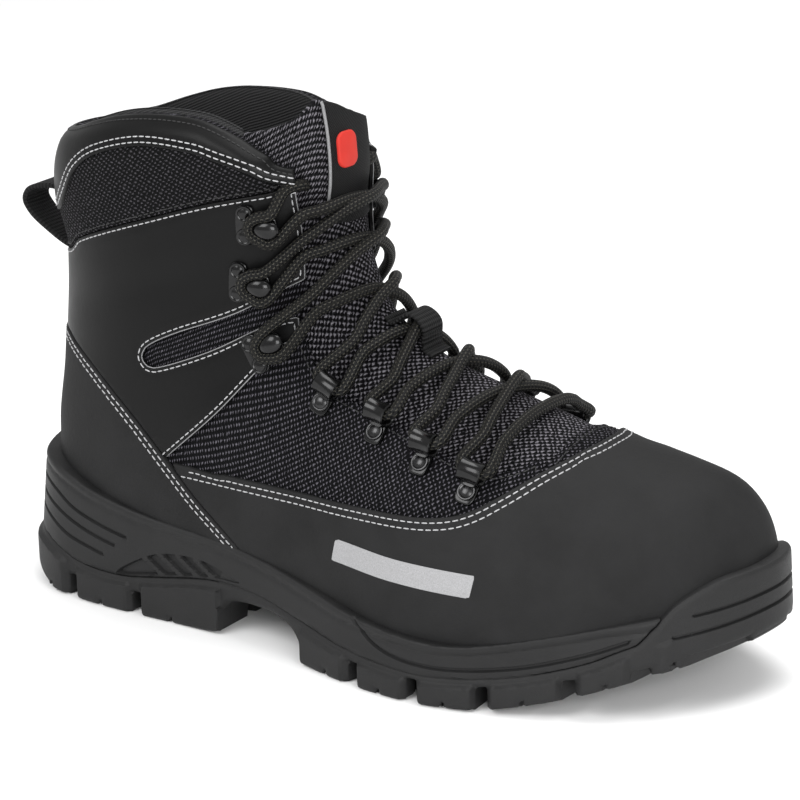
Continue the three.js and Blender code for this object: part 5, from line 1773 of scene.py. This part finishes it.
def lace_half(frames, outer_side):
    """From the first eyelet on one side up to the top hook, changing sides at each strand."""
    parts = []
    for index in range(len(EYELETS)):
        parts.append(through(frames, index, outer_side))
        if index + 1 < len(EYELETS):
            parts.append(strand(index, index + 1, outer_side))
            outer_side = not outer_side
    way = 1.0 if outer_side else -1.0
    tail = [(16.35, 0.118, 2.4), (16.30, 0.098, -0.4), (16.15, 0.090, -3.4), (16.0, 0.088, -5.2)]
    parts.append(np.array([raised(np.array(r), np.array(way * u), np.array(h)) for r, u, h in tail]))
    return np.concatenate(parts)


def make_lace(frames):
    outer, inner = lace_half(frames, True), lace_half(frames, False)
    bar = strand(0, 0, False)
    path = smooth_path(np.concatenate([inner[::-1], bar, outer]))
    reach = reach_of(path)
    where = np.linspace(0, reach[-1], int(reach[-1] / 1.1))
    path = pick_at(where, reach, path)
    pile = Pile()
    pile.add(*tube(path, LACE / 2, 14))
    pile.make("lace", MATERIALS["lace"], "lace", ("lace_bar", *(f"lace_cross_{i}" for i in range(1, 7))), 60)


def smooth_path(points, per=7):
    """A round 3-D curve through unevenly spaced points, which doesn't swing out between them."""
    points = np.asarray(points)
    gaps = np.linalg.norm(np.diff(points, axis=0), axis=1)
    points = points[np.concatenate([[True], gaps > 0.6])]
    ends = np.vstack([2 * points[0] - points[1], points, 2 * points[-1] - points[-2]])
    powers = span_powers(ends[:-3], ends[1:-2], ends[2:-1], ends[3:])
    out = [on_span(ends[1:-2], powers, f) for f in np.arange(per) / per]
    return np.vstack([np.stack(out, 1).reshape(-1, 3), points[-1]])


WEBBING_ROUND = 0.5
SIDEWAYS = np.array([0.0, 1.0, 0.0])


def strap(path, out, width, thick, name, replaced):
    """Flat webbing along a path: a rounded section swept along it."""
    half, lift, flat = width / 2, thick / 2, width / 2 - WEBBING_ROUND
    section = [(-half, -lift * 0.5), (-half, lift * 0.5), (-flat, lift), (-half * 0.5, lift), (0, lift),
               (half * 0.5, lift), (flat, lift), (half, lift * 0.5), (half, -lift * 0.5), (flat, -lift),
               (0, -lift), (-flat, -lift)]
    reach = reach_of(path)
    points, cloth = [], []
    for i in range(len(path)):
        for a, b in section:
            points.append(path[i] + SIDEWAYS * a + out[i] * b)
            cloth.append((reach[i], a, 0))
    faces = [(face[0], *face[:0:-1]) for face in ring_faces(len(path), len(section))]
    faces += [face[::-1] for face in end_faces(len(path), len(section))]
    add_mesh(name, points, faces, MATERIALS["webbing"], replaced, {"cloth": np.array(cloth)}, 40)


LOOP_ROWS = {"top": 17.15, "foot": 16.42}
LOOP_REACH = 21.0
LOOP_SPINE = [(0.25, 0.02), (0, 0), (-0.45, 0.02), (-0.9, -0.10), (-1, -0.30), (-0.85, -0.52), (-0.45, -0.78),
              (0, -1), (0.25, -1.05)]


def make_pull_loop():
    seats = []
    for row in (LOOP_ROWS["top"], LOOP_ROWS["foot"]):
        p = last_point(np.array(row), np.array(0.5))
        seats.append((p[0] - PAD * 0.72, p[2]))
    (top_x, top_z), (foot_x, foot_z) = seats
    spine = [(top_x - z * (foot_x - top_x) + x * LOOP_REACH, 0.0, top_z + z * (top_z - foot_z))
             for x, z in LOOP_SPINE]
    path = smooth_path(np.array(spine), 8)
    ahead = unit(np.gradient(path, axis=0))
    strap(path, np.cross(ahead, SIDEWAYS), LOOP_WIDTH, WEBBING, "pull_loop_webbing", ("pull_loop",))


KEEPER = 1.2
KEEPER_ROWS = [(9.10, 0), (9.30, 0), (9.52, 0.85), (9.78, 1), (10.02, 0.85), (10.22, 0), (10.46, 0)]


def make_keeper():
    low = 0.4 - WALL
    high = ON_TONGUE + LACE * 0.93 + LACE / 2 + GAP + 0.2
    rows = np.array([row for row, up in KEEPER_ROWS])
    lift = np.array([low + (high - low) * up for row, up in KEEPER_ROWS])
    path = smooth_path(raised(rows, np.zeros(len(rows)), lift), 6)
    ahead = unit(np.gradient(path, axis=0))
    out = unit(np.cross(ahead, SIDEWAYS))
    out = out * np.sign(out[:, 2:3])
    strap(path, out, KEEPER_WIDTH, KEEPER, "keeper_webbing", ("lace_keeper",))


# A plain bar where the side carries lettering: its outline in the side view
BAR = np.array([(0.525, 43.5), (0.720, 41.5), (0.724, 49.5), (0.529, 51.5)]) * [LENGTH, 1.0]


def inside_convex(x, z, corners):
    """Distance inside a convex outline whose corners run anticlockwise."""
    inside = np.full(len(x), np.inf)
    for (ax, az), (bx, bz) in zip(corners, np.roll(corners, -1, 0)):
        length = math.hypot(bx - ax, bz - az)
        inside = np.minimum(inside, ((bx - ax) * (z - az) - (bz - az) * (x - ax)) / length)
    return inside


def make_side_bar():
    patch = last_patch(5.5, 11.0, 1.0, (0.10, 0.34))
    points, normals = patch.surface()
    patch.fields["edge"] = inside_convex(points[:, 0], points[:, 2], BAR)
    patch.keep("edge")
    points, normals = patch.surface()
    top = points + normals * (GAP + OVERLAY + 0.22 + creases(points))[:, None]
    bottom = points + normals * (GAP + OVERLAY - 0.4 + creases(points))[:, None]
    verts, faces = close_shell(patch, top, bottom)
    add_mesh("side_bar", verts, faces, MATERIALS["print"], (), {"cloth": cloth_of(patch)})


def make_piles():
    threads.make("seam_threads", MATERIALS["thread"], "lace")
    dark_threads.make("dark_threads", MATERIALS["dark_thread"], "lace")
    pipes.make("edge_piping", MATERIALS["piping"], "webbing")


# The view of the photograph. The turn, rise and roll in degrees and the distance were given; the
# focal length and the offsets were fitted to the sole at its assumed size.
CAMERA = {"turn": 34.0, "rise": 18.0, "roll": -1.5, "distance": 1300.0, "focal_px": 3486.27,
          "offset_px": (-14.16, -1.92), "target": (155.0, 0.0, 90.0), "frame_px": 800.0, "sensor": 36.0}


def add_camera():
    c = CAMERA
    a, e, roll = (math.radians(c[k]) for k in ("turn", "rise", "roll"))
    back = Vector((math.sin(a) * math.cos(e), -math.cos(a) * math.cos(e), math.sin(e)))
    right = Vector((math.cos(a), math.sin(a), 0))
    up = back.cross(right)
    side_way = right * math.cos(roll) + up * math.sin(roll)
    up_way = -right * math.sin(roll) + up * math.cos(roll)
    data = bpy.data.cameras.new("camera")
    data.sensor_width = c["sensor"]
    data.lens = c["focal_px"] / c["frame_px"] * c["sensor"]
    data.shift_x = -c["offset_px"][0] / c["frame_px"]
    data.shift_y = c["offset_px"][1] / c["frame_px"]
    data.clip_start = 0.05
    data.clip_end = 20
    camera = bpy.data.objects.new("camera", data)
    bpy.context.scene.collection.objects.link(camera)
    spot = (Vector(c["target"]) + Vector(SHIFT)) * MM + back * c["distance"] * MM
    turned = Matrix((side_way, up_way, back)).transposed()
    camera.matrix_world = Matrix.Translation(spot) @ turned.to_4x4()
    bpy.context.scene.camera = camera


def add_area(name, where, aim, size, power):
    data = bpy.data.lights.new(name, "AREA")
    data.shape = "RECTANGLE"
    data.size, data.size_y = size
    data.energy = power
    lamp = bpy.data.objects.new(name, data)
    bpy.context.scene.collection.objects.link(lamp)
    direction = Vector(aim) - Vector(where)
    lamp.matrix_world = Matrix.Translation(where) @ direction.to_track_quat("-Z", "Y").to_matrix().to_4x4()


FLOOR_REACH = 6.0


def add_studio():
    mesh = bpy.data.meshes.new("floor")
    corners = [(x * FLOOR_REACH, y * FLOOR_REACH, 0) for x, y in ((-1, -1), (1, -1), (1, 1), (-1, 1))]
    mesh.from_pydata(corners, [], [(0, 1, 2, 3)])
    floor = bpy.data.objects.new("floor", mesh)
    bpy.context.scene.collection.objects.link(floor)
    material, _, shader = nodes_of("floor_pale")
    shader.inputs["Base Color"].default_value = (0.86, 0.86, 0.86, 1)
    shader.inputs["Roughness"].default_value = 0.9
    mesh.materials.append(material)
    world = bpy.data.worlds.new("studio")
    world.use_nodes = True
    background = world.node_tree.nodes["Background"].inputs
    background["Color"].default_value = (1, 1, 1, 1)
    background["Strength"].default_value = 0.70
    bpy.context.scene.world = world
    bpy.context.scene.view_settings.view_transform = "Standard"
    add_area("key", (-0.4, -1.2, 1.2), (0, 0, 0.08), (0.9, 0.9), 17)
    add_area("fill", (1.1, -1.0, 0.55), (0.05, 0, 0.06), (0.9, 0.7), 17)
    add_area("top", (0.1, 0.3, 1.5), (0, 0, 0.1), (1.2, 0.8), 17)


add_camera()
add_studio()
make_upper()
make_rand()
make_counter()
make_ankle_panels()
make_collar()
make_lining()
make_tongue()
make_tongue_panel()
make_badge()
skin_tree = last_tree(GAP + OVERLAY)
make_midsole(skin_tree)
make_outsole(skin_tree)
make_tread()
eyelet_frames = hardware_frames()
make_hardware(eyelet_frames)
make_lace(eyelet_frames)
make_pull_loop()
make_keeper()
make_side_bar()
make_piles()
